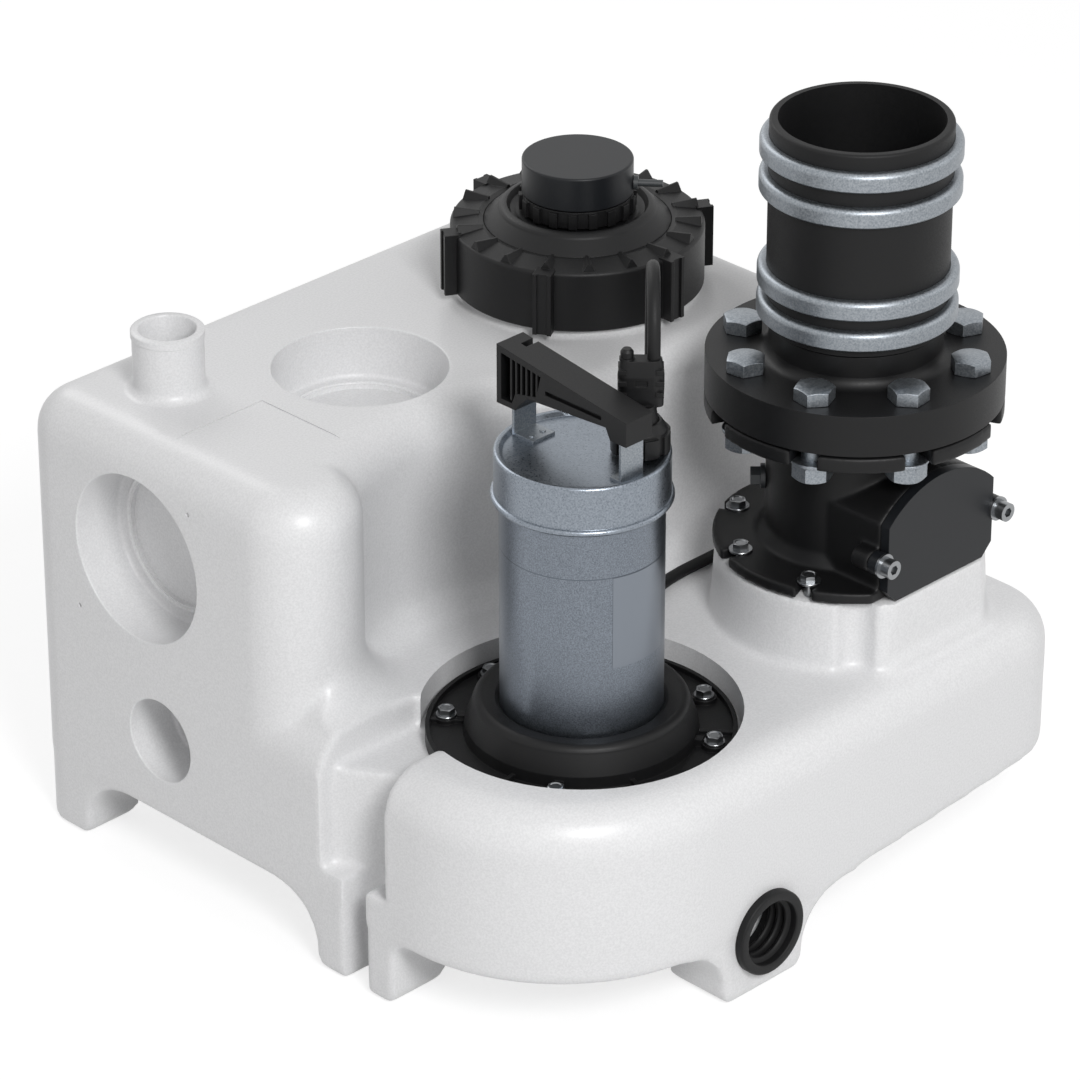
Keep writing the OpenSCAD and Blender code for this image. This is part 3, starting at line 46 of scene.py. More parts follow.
# places that the pieces share, all from the CAD
tankLeft, tankRight = -0.250, 0.250
deckZ, bodyZ, wellFloorZ = 0.175, 0.330, 0.152
pumpAxis = Vector((-0.095, -0.120, 0))
outletAxis = Vector((0.130, -0.152, 0))
capAxis = Vector((0.125, 0.102, 0))
plugAxis = Vector((-0.095 + 0.037 * math.sqrt(0.5), -0.120 - 0.037 * math.sqrt(0.5), 0))
motorRadius = 0.054

# fitted to the photograph
cameraSetup = {
    "picture": 1080,  # pixels across
    "sensor": 36.0,
    "azimuth": -45.0,
    "elevation": 28.3,
    "focal": 5500.0,  # in pixels
    "distance": 3.613,
    "aim": (-0.095, -0.120, 0.175),
    "aimPixel": (581.5, 706.0),
    "farthest": 50.0,
}


def placeCamera(s):
    a, e = math.radians(s["azimuth"]), math.radians(s["elevation"])
    back = Vector((math.sin(a) * math.cos(e), -math.cos(a) * math.cos(e), math.sin(e)))
    right = Vector((math.cos(a), math.sin(a), 0))
    above = back.cross(right)
    middle = s["picture"] / 2
    shiftX = (s["aimPixel"][0] - middle) / s["focal"] * s["distance"]
    shiftY = -(s["aimPixel"][1] - middle) / s["focal"] * s["distance"]
    data = bpy.data.cameras.new("camera")
    data.lens = s["focal"] / s["picture"] * s["sensor"]
    data.sensor_width = s["sensor"]
    data.clip_end = s["farthest"]
    cam = bpy.data.objects.new("camera", data)
    cam.matrix_world = Matrix((
        (right.x, above.x, back.x, 0), (right.y, above.y, back.y, 0), (right.z, above.z, back.z, 0), (0, 0, 0, 1)))
    cam.location = Vector(s["aim"]) + back * s["distance"] - right * shiftX - above * shiftY
    bpy.context.collection.objects.link(cam)
    bpy.context.scene.camera = cam


placeCamera(cameraSetup)
print("camera placed")


def toLinear(hexText):
    values = [int(hexText[i:i + 2], 16) / 255 for i in (1, 3, 5)]
    return tuple(v / 12.92 if v <= 0.04045 else ((v + 0.055) / 1.055) ** 2.4 for v in values) + (1.0,)


def addNode(tree, kind, settings=None, links=None):
    # settings: node attributes or socket values; links: socket name or number -> output socket
    node = tree.nodes.new(kind)
    for key, value in (settings or {}).items():
        if not isinstance(key, int) and hasattr(node, key):
            setattr(node, key, value)
        else:
            node.inputs[key].default_value = value
    for key, value in (links or {}).items():
        tree.links.new(value, node.inputs[key])
    return node


def newMaterial(name, colour, roughness, metallic=0.0, specular=0.5):
    mat = bpy.data.materials.new(name)
    mat.use_nodes = True
    tree = mat.node_tree
    shader = tree.nodes["Principled BSDF"]
    shader.inputs["Base Color"].default_value = toLinear(colour)
    shader.inputs["Roughness"].default_value = roughness
    shader.inputs["Metallic"].default_value = metallic
    if metallic == 0:
        shader.inputs["IOR"].default_value = 1.5
        shader.inputs["Specular IOR Level"].default_value = specular
    return mat, tree, shader


def addGrain(tree, shader, grainMm, strength, depthMm=0.05, detail=2.0, edgeMm=0.0):
    # fine surface grain in the object's own millimetres, over edges worn round by edgeMm
    coords = addNode(tree, "ShaderNodeTexCoord")
    noise = addNode(tree, "ShaderNodeTexNoise",
                    {"Scale": 1000.0 / grainMm, "Detail": detail, "Roughness": 0.6},
                    {"Vector": coords.outputs["Object"]})
    bump = addNode(tree, "ShaderNodeBump", {"Strength": strength, "Distance": depthMm * mm},
                   {"Height": noise.outputs["Fac"]})
    if edgeMm:
        edge = addNode(tree, "ShaderNodeBevel", {"samples": 4, "Radius": edgeMm * mm})
        tree.links.new(edge.outputs["Normal"], bump.inputs["Normal"])
    tree.links.new(bump.outputs["Normal"], shader.inputs["Normal"])
    return noise


def addTone(tree, shader, noise, dark, light, smoothest, roughest):
    # the grain also shifts the colour and the gloss a little
    span = {"From Min": 0.35, "From Max": 0.65}
    ramp = addNode(tree, "ShaderNodeMapRange", span, {"Value": noise.outputs["Fac"]})
    mix = addNode(tree, "ShaderNodeMix", {"data_type": "RGBA", 6: toLinear(dark), 7: toLinear(light)},
                  {0: ramp.outputs["Result"]})
    tree.links.new(mix.outputs[2], shader.inputs["Base Color"])
    rough = addNode(tree, "ShaderNodeMapRange", {**span, "To Min": smoothest, "To Max": roughest},
                    {"Value": noise.outputs["Fac"]})
    tree.links.new(rough.outputs["Result"], shader.inputs["Roughness"])
    return mix


def addSeam(tree, shader, mix, height, halfWidth, colour):
    # a weld line round the tube, at one height
    coords = addNode(tree, "ShaderNodeTexCoord")
    split = addNode(tree, "ShaderNodeSeparateXYZ", None, {0: coords.outputs["Object"]})
    line = addNode(tree, "ShaderNodeMath", {"operation": "COMPARE", 1: height, 2: halfWidth},
                   {0: split.outputs["Z"]})
    seam = addNode(tree, "ShaderNodeMix", {"data_type": "RGBA", 7: toLinear(colour)},
                   {0: line.outputs[0], 6: mix.outputs[2]})
    tree.links.new(seam.outputs[2], shader.inputs["Base Color"])


def meshObject(name, mesh, mat):
    obj = bpy.data.objects.new(name, mesh)
    bpy.context.collection.objects.link(obj)
    mesh.materials.clear()
    mesh.materials.append(mat)
    return obj


def meshFrom(name, verts, faces):
    # a closed mesh with its faces turned outwards
    mesh = bpy.data.meshes.new(name)
    mesh.from_pydata(verts, [], faces)
    bm = bmesh.new()
    bm.from_mesh(mesh)
    bmesh.ops.recalc_face_normals(bm, faces=bm.faces)
    bm.to_mesh(mesh)
    bm.free()
    return mesh


def mergedNode(node):
    # a CAD node's mesh with its loose triangles joined up
    bm = bmesh.new()
    bm.from_mesh(frame["nodes"][node].data)
    bmesh.ops.remove_doubles(bm, verts=bm.verts, dist=0.00002)
    return bm


def asMesh(bm, name):
    mesh = bpy.data.meshes.new(name)
    bm.to_mesh(mesh)
    bm.free()
    return mesh


def smoothByAngle(mesh, angle=35):
    mesh.polygons.foreach_set("use_smooth", [True] * len(mesh.polygons))
    mesh.set_sharp_from_angle(angle=math.radians(angle))


def evaluated(obj):
    # the object's mesh with its modifiers applied
    graph = bpy.context.evaluated_depsgraph_get()
    mesh = bpy.data.meshes.new_from_object(obj.evaluated_get(graph))
    obj.modifiers.clear()
    return mesh


def remesh(obj, voxel):
    modifier = obj.modifiers.new("remesh", "REMESH")
    modifier.mode = "VOXEL"
    modifier.voxel_size = voxel
    obj.data = evaluated(obj)


def relax(obj, rounds, group=""):
    modifier = obj.modifiers.new("relax", "SMOOTH")
    modifier.factor = 0.5
    modifier.iterations = rounds
    modifier.vertex_group = group
    obj.data = evaluated(obj)


def thin(obj, keep):
    # down to about this many triangles; the mesh is all quads
    modifier = obj.modifiers.new("thin", "DECIMATE")
    modifier.ratio = min(1.0, keep / (2 * len(obj.data.polygons)))
    obj.data = evaluated(obj)


def ringMesh(name, rings, segments=48, closed=False):
    # rings of (radius, height, shape): round, hex, or hex with its top or lower corners turned off
    turnedRadius, turnedSlope = 0.95, 0.5
    verts, faces = [], []
    for radius, z, shape in rings:
        for i in range(segments):
            turn = 2 * math.pi * i / segments
            r, height = radius, z
            if shape != "round":
                r = radius / math.cos(turn % (math.pi / 3) - math.pi / 6)
            if shape == "hexTop":
                height = z - (r - turnedRadius * radius) * turnedSlope
            if shape == "hexLow":
                height = z + (r - turnedRadius * radius) * turnedSlope
            verts.append((r * math.cos(turn), r * math.sin(turn), height))
    count = len(rings)
    for k in range(count if closed else count - 1):
        a, b = k * segments, (k + 1) % count * segments
        for i in range(segments):
            j = (i + 1) % segments
            faces.append((a + i, a + j, b + j, b + i))
    if not closed:
        faces.append(tuple(range(segments))[::-1])
        faces.append(tuple((count - 1) * segments + i for i in range(segments)))
    return meshFrom(name, verts, faces)


def inMetres(profile):
    return [(r * mm, z * mm, shape) for r, z, shape in profile]


def placed(place, direction=up):
    turn = Vector((0, 0, 1)).rotation_difference(Vector(direction))
    return Matrix.Translation(place) @ turn.to_matrix().to_4x4()


def joined(name, meshes):
    # one mesh from several, each with its place
    bm = bmesh.new()
    for mesh, matrix in meshes:
        mesh.transform(matrix)
        bm.from_mesh(mesh)
        bpy.data.meshes.remove(mesh)
    return asMesh(bm, name)


def arcPoints(r, z, radius, start, end, steps=6):
    return [(r + radius * math.cos(math.radians(start + (end - start) * i / steps)),
             z + radius * math.sin(math.radians(start + (end - start) * i / steps)), "round")
            for i in range(steps + 1)]


# rotomoulded polyethylene: waxy light grey, soft sheen, faint orange peel from the mould
polyethylene, tree, shader = newMaterial("rotomouldedPolyethylene", "#DEDEDF", 0.36)
noise = addGrain(tree, shader, 1.5, 0.4, 0.12, 3.0)
addTone(tree, shader, noise, "#D8D8D9", "#E3E3E4", 0.3, 0.42)

# glass-filled polypropylene, injection moulded: charcoal black with a fine eroded grain
blackMoulded, tree, shader = newMaterial("glassFilledPolypropylene", "#0D0D0E", 0.45, specular=0.3)
noise = addGrain(tree, shader, 0.7, 0.3, 0.05, edgeMm=0.7)
addTone(tree, shader, noise, "#0A0A0B", "#101011", 0.42, 0.54)

# ABS, injection moulded: smoother, a little lighter
smoothMoulded, tree, shader = newMaterial("mouldedAbs", "#15171A", 0.4, specular=0.3)
addGrain(tree, shader, 1.2, 0.15, 0.03, edgeMm=0.6)

# EPDM rubber, extruded: matt black
epdmRubber, tree, shader = newMaterial("extrudedEpdm", "#0B0B0C", 0.55, specular=0.3)
noise = addGrain(tree, shader, 1.0, 0.3, 0.06)
addTone(tree, shader, noise, "#09090A", "#0F0F10", 0.5, 0.62)

# stainless steel tube, glass-bead blasted: blue-grey, mottled, with a fine weld line
blastedSteel, tree, shader = newMaterial("beadBlastedSteel", "#767C84", 0.34, metallic=1.0)
noise = addGrain(tree, shader, 0.9, 0.5, 0.05, 3.0)
mix = addTone(tree, shader, noise, "#686E76", "#868D96", 0.28, 0.38)
addSeam(tree, shader, mix, 0.2985, 0.0004, "#626870")

# the drawn cap is the same steel, a little smoother and brighter
drawnSteel, tree, shader = newMaterial("drawnStainless", "#878E96", 0.32, metallic=1.0)
noise = addGrain(tree, shader, 1.2, 0.4, 0.05, 3.0, edgeMm=0.9)
addTone(tree, shader, noise, "#7A8189", "#969DA6", 0.27, 0.37)

# bare aluminium foil, rolled: smoother than the tube
rolledFoil, tree, shader = newMaterial("rolledAluminiumFoil", "#80868E", 0.3, metallic=1.0)
addGrain(tree, shader, 1.0, 0.25, 0.04, 3.0)

# stainless fasteners, turned: clean and bright
turnedSteel, tree, shader = newMaterial("turnedStainless", "#949698", 0.3, metallic=1.0)
addGrain(tree, shader, 0.6, 0.15, 0.03)

# hot-dip zinc on bolts and clamps: pale, slightly rough, faint spangle
zincCoat, tree, shader = newMaterial("hotDipZinc", "#92979C", 0.42, metallic=1.0)
noise = addGrain(tree, shader, 1.3, 0.5, 0.06, 3.0, edgeMm=0.5)
addTone(tree, shader, noise, "#80868C", "#A1A6AB", 0.36, 0.5)

# cast aluminium, as cast: dull and even
castAluminium, tree, shader = newMaterial("castAluminium", "#9A9A98", 0.55, metallic=1.0)
addGrain(tree, shader, 1.0, 0.5, 0.1)

# enamelled copper wire, wound and varnished: glossy brown
copperWinding, tree, shader = newMaterial("varnishedCopper", "#8A4A22", 0.4, metallic=0.6)
addGrain(tree, shader, 0.9, 0.6, 0.2)

# grey polyamide, moulded: satin
greyMoulded, tree, shader = newMaterial("greyPolyamide", "#3C3F41", 0.42)
addGrain(tree, shader, 0.8, 0.2, 0.04)

materialOf = {
    "polyethylene": polyethylene,
    "black_plastic": blackMoulded,
    "grip_plastic": blackMoulded,
    "cover_plastic": smoothMoulded,
    "rubber": epdmRubber,
    "stainless": turnedSteel,
    "satin_cap": drawnSteel,
    "zinc_plate": zincCoat,
    "cast_alloy": castAluminium,
    "bearing_steel": turnedSteel,
    "winding": copperWinding,
    "grey_plastic": greyMoulded,
}
for part in frame["record"]["subparts"]:
    for materialSlot in frame["nodes"][part["node"]].material_slots:
        materialSlot.material = materialOf[part["material_slot"]]
frame["nodes"]["motor_casing"].material_slots[0].material = blastedSteel
print("materials made")


# the route's points are in millimetres
cableSetup = {
    "diameter": 0.0086,
    "coilCentre": (0.340, 0.0106),
    "coilMid": 0.047,
    "coilBase": 0.0046,
    "columns": 3,
    "layers": 4,
    "turns": 11.25,
    "stepsPerTurn": 24,
    "stepOver": 0.72,  # share of a turn after which the cable moves on to the next place
    "entryAside": 0.008,  # from the plug's axis, on the side away from the motor's
    "entryZ": 0.430,
    "lane": 0.075,  # behind the pump's axis, over the deck and down the side
    "lift": 0.005,
    # along the diagonal from the entry, and height above it, then above the deck
    "rise": [(0, 0), (0, 8), (5, 26), (18, 39), (36, 44), (54, 39), (67, 26), (73, 8), (77, -24), (79, -64),
             (81, -104), (83, -144)],
    "fall": [(84, 68), (87, 46), (94, 27), (106, 13), (122, 6)],
    "deck": [(141, 69), (165, 74), (200, 75), (240, 75), (276, 75)],
    "edge": [(-30, 5), (-17, 2), (-5, -5), (2, -17), (5, -30), (6, -60), (6, -98)],
    "floor": [(6, 50), (9, 31), (18, 16), (32, 7), (50, 5), (68, 4.6)],
    "tail": [(10, 30.4), (22, 28.8), (31, 25), (40, 21.2), (52, 19.4)],
}


def coilTurn(s, k):
    # radius and height of turn k, wound to and fro in layers
    layer, column = divmod(k, s["columns"])
    place = column if layer % 2 else s["columns"] - 1 - column
    radius = s["coilMid"] + (place - (s["columns"] - 1) / 2) * s["diameter"]
    return radius, s["coilBase"] + layer * s["diameter"]


def cableCoil(s):
    cx, cy = s["coilCentre"]
    coil = []
    for i in range(int(s["turns"] * s["stepsPerTurn"]) + 1):
        turn = i / s["stepsPerTurn"]
        k = int(turn)
        blend = max(0.0, (turn - k - s["stepOver"]) / (1 - s["stepOver"]))
        blend = blend * blend * (3 - 2 * blend)
        (r0, z0), (r1, z1) = coilTurn(s, k), coilTurn(s, k + 1)
        r, z = r0 + (r1 - r0) * blend, z0 + (z1 - z0) * blend
        angle = -math.pi / 2 + turn * 2 * math.pi
        coil.append(Vector((cx + r * math.cos(angle), cy + r * math.sin(angle), z)))
    return coil


def cableRoute(s):
    along = math.sqrt(0.5)
    entry = plugAxis + Vector((s["entryAside"] * along, -s["entryAside"] * along, s["entryZ"]))
    run = [entry + Vector((p * along * mm, p * along * mm, z * mm)) for p, z in s["rise"]]
    run += [Vector((entry.x + p * along * mm, entry.y + p * along * mm, deckZ + z * mm)) for p, z in s["fall"]]
    run += [Vector((pumpAxis.x + x * mm, pumpAxis.y + y * mm, deckZ + s["lift"])) for x, y in s["deck"]]
    laneY = pumpAxis.y + s["lane"]
    run += [Vector((tankRight + x * mm, laneY, deckZ + z * mm)) for x, z in s["edge"]]
    run += [Vector((tankRight + x * mm, laneY, z * mm)) for x, z in s["floor"]]
    outer = s["coilCentre"][0] + s["coilMid"] + s["diameter"]
    tail = [Vector((outer, s["coilCentre"][1] + y * mm, z * mm)) for y, z in s["tail"]]
    return run, tail


def roundCurve(points, perSpan=4):
    # centripetal Catmull-Rom through the points
    out = []
    for i in range(len(points) - 1):
        p1, p2 = points[i], points[i + 1]
        p0 = points[i - 1] if i else p1 * 2 - p2
        p3 = points[i + 2] if i < len(points) - 2 else p2 * 2 - p1
        t1 = max(1e-6, (p1 - p0).length) ** 0.5
        t2 = t1 + max(1e-6, (p2 - p1).length) ** 0.5
        t3 = t2 + max(1e-6, (p3 - p2).length) ** 0.5
        for k in range(perSpan):
            t = t1 + (t2 - t1) * k / perSpan
            a1 = p0 * ((t1 - t) / t1) + p1 * (t / t1)
            a2 = p1 * ((t2 - t) / (t2 - t1)) + p2 * ((t - t1) / (t2 - t1))
            a3 = p2 * ((t3 - t) / (t3 - t2)) + p3 * ((t - t2) / (t3 - t2))
            b1 = a1 * ((t2 - t) / t2) + a2 * (t / t2)
            b2 = a2 * ((t3 - t) / (t3 - t1)) + a3 * ((t - t1) / (t3 - t1))
            out.append(b1 * ((t2 - t) / (t2 - t1)) + b2 * ((t - t1) / (t2 - t1)))
    out.append(points[-1])
    return out


def makeCable(s):
    run, tail = cableRoute(s)
    coil = cableCoil(s)
    points = roundCurve(run + coil[:1])[:-1] + coil + roundCurve([coil[-1]] + tail)[1:]
    curve = bpy.data.curves.new("powerCable", "CURVE")
    curve.dimensions = "3D"
    curve.bevel_depth = s["diameter"] / 2
    curve.bevel_resolution = 3
    curve.use_fill_caps = True
    spline = curve.splines.new("POLY")
    spline.points.add(len(points) - 1)
    for target, p in zip(spline.points, points):
        target.co = (*p, 1)
    spline.use_smooth = True
    cable = bpy.data.objects.new("powerCable", curve)
    bpy.context.collection.objects.link(cable)
    curve.materials.append(epdmRubber)
    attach(cable, "base")
    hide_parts("power_cable", "cable_coil")


makeCable(cableSetup)


tieSetup = {
    "angle": 90.0,  # where on the coil, from +X
    "width": 0.014,
    "thickness": 0.0011,
    "slack": 0.0004,
    "cornerSteps": 4,
    "floorGaps": (0.00025, 0.00005),  # under the strap's inner and outer side
}


def makeTie(s, c):
    # a hook-and-loop strap pulled tight round the coil's turns
    d, mid, base = c["diameter"], c["coilMid"], c["coilBase"]
    topZ = base + (c["layers"] - 1) * d
    corners = [(mid - d, base), (mid + d, base), (mid + d, topZ - d), (mid, topZ), (mid - d, topZ)]
    loops = []
    for grow, floorGap in zip((s["slack"], s["slack"] + s["thickness"]), s["floorGaps"]):
        reach = d / 2 + grow
        loop = []
        for i, (r, z) in enumerate(corners):
            before, after = corners[i - 1], corners[(i + 1) % len(corners)]
            start = math.atan2(before[0] - r, z - before[1])
            sweep = (math.atan2(r - after[0], after[1] - z) - start) % (2 * math.pi)
            for k in range(s["cornerSteps"] + 1):
                turn = start + sweep * k / s["cornerSteps"]
                loop.append((r + reach * math.cos(turn), max(floorGap, z + reach * math.sin(turn))))
        loops.append(loop)
    count = len(loops[0])
    verts = [(r, side * s["width"] / 2, z) for side in (-1, 1) for loop in loops for r, z in loop]
    faces = []
    for i in range(count):
        j = (i + 1) % count
        for a, b in ((0, 1), (1, 3), (3, 2), (2, 0)):
            faces.append((a * count + i, a * count + j, b * count + j, b * count + i))
    mesh = meshFrom("coilTie", verts, faces)
    turned = Matrix.Rotation(math.radians(s["angle"]), 4, "Z")
    mesh.transform(Matrix.Translation((*c["coilCentre"], 0)) @ turned)
    tie = meshObject("coilTie", mesh, epdmRubber)
    smoothByAngle(mesh)
    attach(tie, "base")
    print("coil tie made")


makeTie(tieSetup, cableSetup)


valveSetup = {
    "voxel": 0.0014,
    "smoothing": 9,
    "keep": 120000,  # triangles
    "creaseAngle": 40,
}


def makeValve(s):
    # the moulded valve body has soft inside corners where neck, box and foot meet
    valve = meshObject("valveShell", asMesh(mergedNode("valve_body"), "valveShell"), blackMoulded)
    remesh(valve, s["voxel"])
    relax(valve, s["smoothing"])
    thin(valve, s["keep"])
    valve.data.materials.clear()
    valve.data.materials.append(blackMoulded)
    smoothByAngle(valve.data, s["creaseAngle"])
    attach(valve, "base")
    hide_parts("valve_body")
    print("valve made, faces:", len(valve.data.polygons))


makeValve(valveSetup)


tankSetup = {
    "voxel": 0.0026,
    "smoothing": 7,
    "keep": 165000,  # triangles
    "creaseAngle": 32,
    "sweep": ((0.03, -0.27, 0.02), (0.26, -0.12, 0.125)),
    "sweepSmoothing": 45,
    "wellRadius": 0.107,
    "plugBase": 0.149,
    "plugNotch": (0.065, 0.095),  # the channel's mouth, left of the pump's axis
    "channel": (-0.093, -0.033),  # front and back wall of the drain channel
    "channelSpare": 0.004,
    # place, direction and radius in millimetres
    "inlets": [((-0.250, 0.143, 0.243), leftward, 60.0), ((-0.250, 0.125, 0.111), leftward, 30.0),
               ((-0.066, 0.119, 0.330), up, 60.0)],
    "inletDepth": 38.0,
    "drain": (-0.058, -0.255, 0.045),
    "drainBore": 26.3,
    "vent": (-0.178, 0.186),
    "ventOuter": 25.0,
    "ventInner": 19.0,
    "ventHeight": 44.0,
    "ventClear": 0.034,
    "markCorner": (-0.147, 0.128),
    "markLength": 0.077,
    "markWidth": 0.0014,
    "dimples": [(0.089, 0.2967), (0.2027, 0.1852)],
    "dimpleRadius": 1.7,
}


def wellPlug(s):
    # fills the well up to the deck, apart from the channel's way in
    front, back = s["channel"]
    near, far = (pumpAxis.x - reach for reach in s["plugNotch"])
    radius = s["wellRadius"] + 0.0005
    notch = [(far, back + 0.001), (near, back), (near, front), (far, front - 0.001)]
    outline = []
    for i in range(96):
        angle = 2 * math.pi * i / 96
        x = pumpAxis.x + radius * math.cos(angle)
        y = pumpAxis.y + radius * math.sin(angle)
        if x < pumpAxis.x and front - s["channelSpare"] < y < back + s["channelSpare"]:
            outline += [p for p in notch if p not in outline]
        else:
            outline.append((x, y))
    count = len(outline)
    verts = [(x, y, z) for z in (s["plugBase"], deckZ) for x, y in outline]
    faces = [tuple(range(count))[::-1], tuple(range(count, 2 * count))]
    faces += [(i, (i + 1) % count, count + (i + 1) % count, count + i) for i in range(count)]
    mesh = bpy.data.meshes.new("wellPlug")
    mesh.from_pydata(verts, [], faces)
    return mesh, Matrix()


def boreCutter(place, direction, radius, above, below, segments=72):
    # a cylinder from above the place to below it
    rings = [(radius, above, "round"), (radius, -below, "round")]
    return ringMesh("bore", inMetres(rings), segments), placed(place, direction)


def plug(place, direction, radius, length):
    # a cylinder that ends flush at place and reaches in by length
    return boreCutter(place, direction, radius, 0, length, 48)


def recessCutter(place, direction, radius, depth, rim=1.2):
    # a stepped round pocket with a slightly rounded rim, a ridge on its floor and a thin disc in it
    rings = [(radius + rim, 8, "round")]
    rings += arcPoints(radius + rim, -rim + 0.05, rim, 90, 180, 4)
    rings += arcPoints(radius - 3, -depth + 3, 3, 360, 270, 4)
    rings += arcPoints(radius - 9, -depth - 0.6, 1.8, 20, 160, 6)
    rings += [(radius - 12, -depth, "round"), (radius - 12.6, -depth - 3, "round")]
    return ringMesh("recess", inMetres(rings), 96), placed(place, direction)


def markCutter(s):
    # two thin grooves that meet in a corner on the top face
    x, y = s["markCorner"]
    w, run, low, high = s["markWidth"], s["markLength"], bodyZ - 0.001, bodyZ + 0.002
    outline = [(x, y), (x - run, y), (x - run, y - w), (x - w, y - w), (x - w, y - run), (x, y - run)]
    sides = [(i, i + 6, (i + 1) % 6 + 6, (i + 1) % 6) for i in range(6)]
    mesh = meshFrom("mark", [(px, py, z) for z in (low, high) for px, py in outline],
                    [(0, 1, 2, 3, 4, 5), (11, 10, 9, 8, 7, 6)] + sides)
    return mesh, Matrix()


def keepLargest(mesh):
    # the sealed hollow inside comes out as pieces of its own, which go
    bm = bmesh.new()
    bm.from_mesh(mesh)
    bm.verts.ensure_lookup_table()
    seen = bytearray(len(bm.verts))
    groups = []
    for start in bm.verts:
        if seen[start.index]:
            continue
        seen[start.index] = 1
        group, queue = [], [start]
        while queue:
            vert = queue.pop()
            group.append(vert)
            for edge in vert.link_edges:
                other = edge.other_vert(vert)
                if not seen[other.index]:
                    seen[other.index] = 1
                    queue.append(other)
        groups.append(group)
    largest = max(groups, key=lambda g: max(v.co.x for v in g) - min(v.co.x for v in g))
    for group in groups:
        if group is not largest:
            bmesh.ops.delete(bm, geom=group, context="VERTS")
    bm.to_mesh(mesh)
    bm.free()


def closedTank(s):
    # the CAD tank with its vent stub off and its openings filled, so that remeshing keeps the outside
    bm = mergedNode("tank")
    stub = [v for v in bm.verts if v.co.z > bodyZ + 0.0003 and
            math.hypot(v.co.x - s["vent"][0], v.co.y - s["vent"][1]) < s["ventClear"]]
    bmesh.ops.delete(bm, geom=stub, context="VERTS")
    vent = (*s["vent"], bodyZ)
    depth = s["inletDepth"] + 8
    return joined("tankShell", [
        (asMesh(bm, "plain"), Matrix()),
        wellPlug(s),
        plug(vent, up, 32, 9),
        plug(pumpAxis + Vector((0, 0, wellFloorZ)), up, 80, 6),
        plug(capAxis + Vector((0, 0, bodyZ + 0.002)), up, 76, 8),
        plug(outletAxis + Vector((0, 0, 0.224)), up, 60, 10),
        plug(s["drain"], forward, 27, 26),
    ] + [plug(place, direction, radius + 1, depth) for place, direction, radius in s["inlets"]])


def tankCutters(s):
    # radii and depths in millimetres
    return joined("tankCutters", [recessCutter(*inlet, s["inletDepth"]) for inlet in s["inlets"]] + [
        boreCutter(pumpAxis + Vector((0, 0, deckZ)), up, s["wellRadius"] / mm, 20, 22.2),
        boreCutter((*s["vent"], bodyZ), up, s["ventInner"], 5, 30),
        boreCutter(s["drain"], forward, s["drainBore"], 5, 35),
        markCutter(s),
    ] + [boreCutter((tankLeft, y, z), leftward, s["dimpleRadius"], 4, 1.5) for y, z in s["dimples"]])


def makeTank(s):
    # the moulded outside has no sharp edge: a closed copy is remeshed and relaxed, then the
    # machined and inserted openings are cut crisp, as they are on the real tank
    tank = meshObject("tankShell", closedTank(s), polyethylene)
    remesh(tank, s["voxel"])
    keepLargest(tank.data)
    relax(tank, s["smoothing"])
    # the long sweep of the front's lower edge is relaxed further
    low, high = s["sweep"]
    sweep = [v.index for v in tank.data.vertices if all(low[i] < v.co[i] < high[i] for i in range(3))]
    tank.vertex_groups.new(name="sweep").add(sweep, 1.0, "REPLACE")
    relax(tank, s["sweepSmoothing"], "sweep")
    tank.vertex_groups.clear()
    print("tank body relaxed, faces:", len(tank.data.polygons))
    thin(tank, s["keep"])
    cutter = meshObject("tankCutter", tankCutters(s), polyethylene)
    cut = tank.modifiers.new("cut", "BOOLEAN")
    cut.operation = "DIFFERENCE"
    cut.solver = "EXACT"
    cut.object = cutter
    tank.data = evaluated(tank)
    bpy.data.objects.remove(cutter)
    tank.data.name = "tankShell"
    tank.data.materials.clear()
    tank.data.materials.append(polyethylene)
    smoothByAngle(tank.data, s["creaseAngle"])
    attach(tank, "base")
    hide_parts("tank")
    print("tank made, faces:", len(tank.data.polygons))


def makeVentStub(s):
    # crisp spigot with a thin collar at its mouth and a moulded fillet at its foot
    outer, inner, top = s["ventOuter"], s["ventInner"], s["ventHeight"]
    foot = outer + 6.3
    profile = [(inner, -12, "round"), (inner, top - 1, "round"), (inner + 0.8, top, "round"),
               (outer - 1, top, "round"), (outer, top - 0.8, "round"), (outer, top - 5, "round"),
               (outer - 0.7, top - 5.6, "round")]
    profile += arcPoints(foot, 7, 7, 180, 270, 8)
    profile += [(foot, -2, "round"), (inner + 4, -2, "round")]
    mesh = ringMesh("ventStub", inMetres(profile), 96, closed=True)
    mesh.transform(placed((*s["vent"], bodyZ + 0.00005)))
    stub = meshObject("ventStub", mesh, polyethylene)
    smoothByAngle(mesh, 40)
    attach(stub, "base")


makeTank(tankSetup)
makeVentStub(tankSetup)


# millimetres
sleeveSetup = {
    "barrel": 26.0,
    "barrelEnd": -24,
    "outer": 30.0,
    "inner": 23.0,
    "proud": 6.0,
    "ribInner": 19.8,
    "ribs": [-2.0, -9.0, -16.0],
    "ribHalf": 2.2,
    "creaseAngle": 40,
}


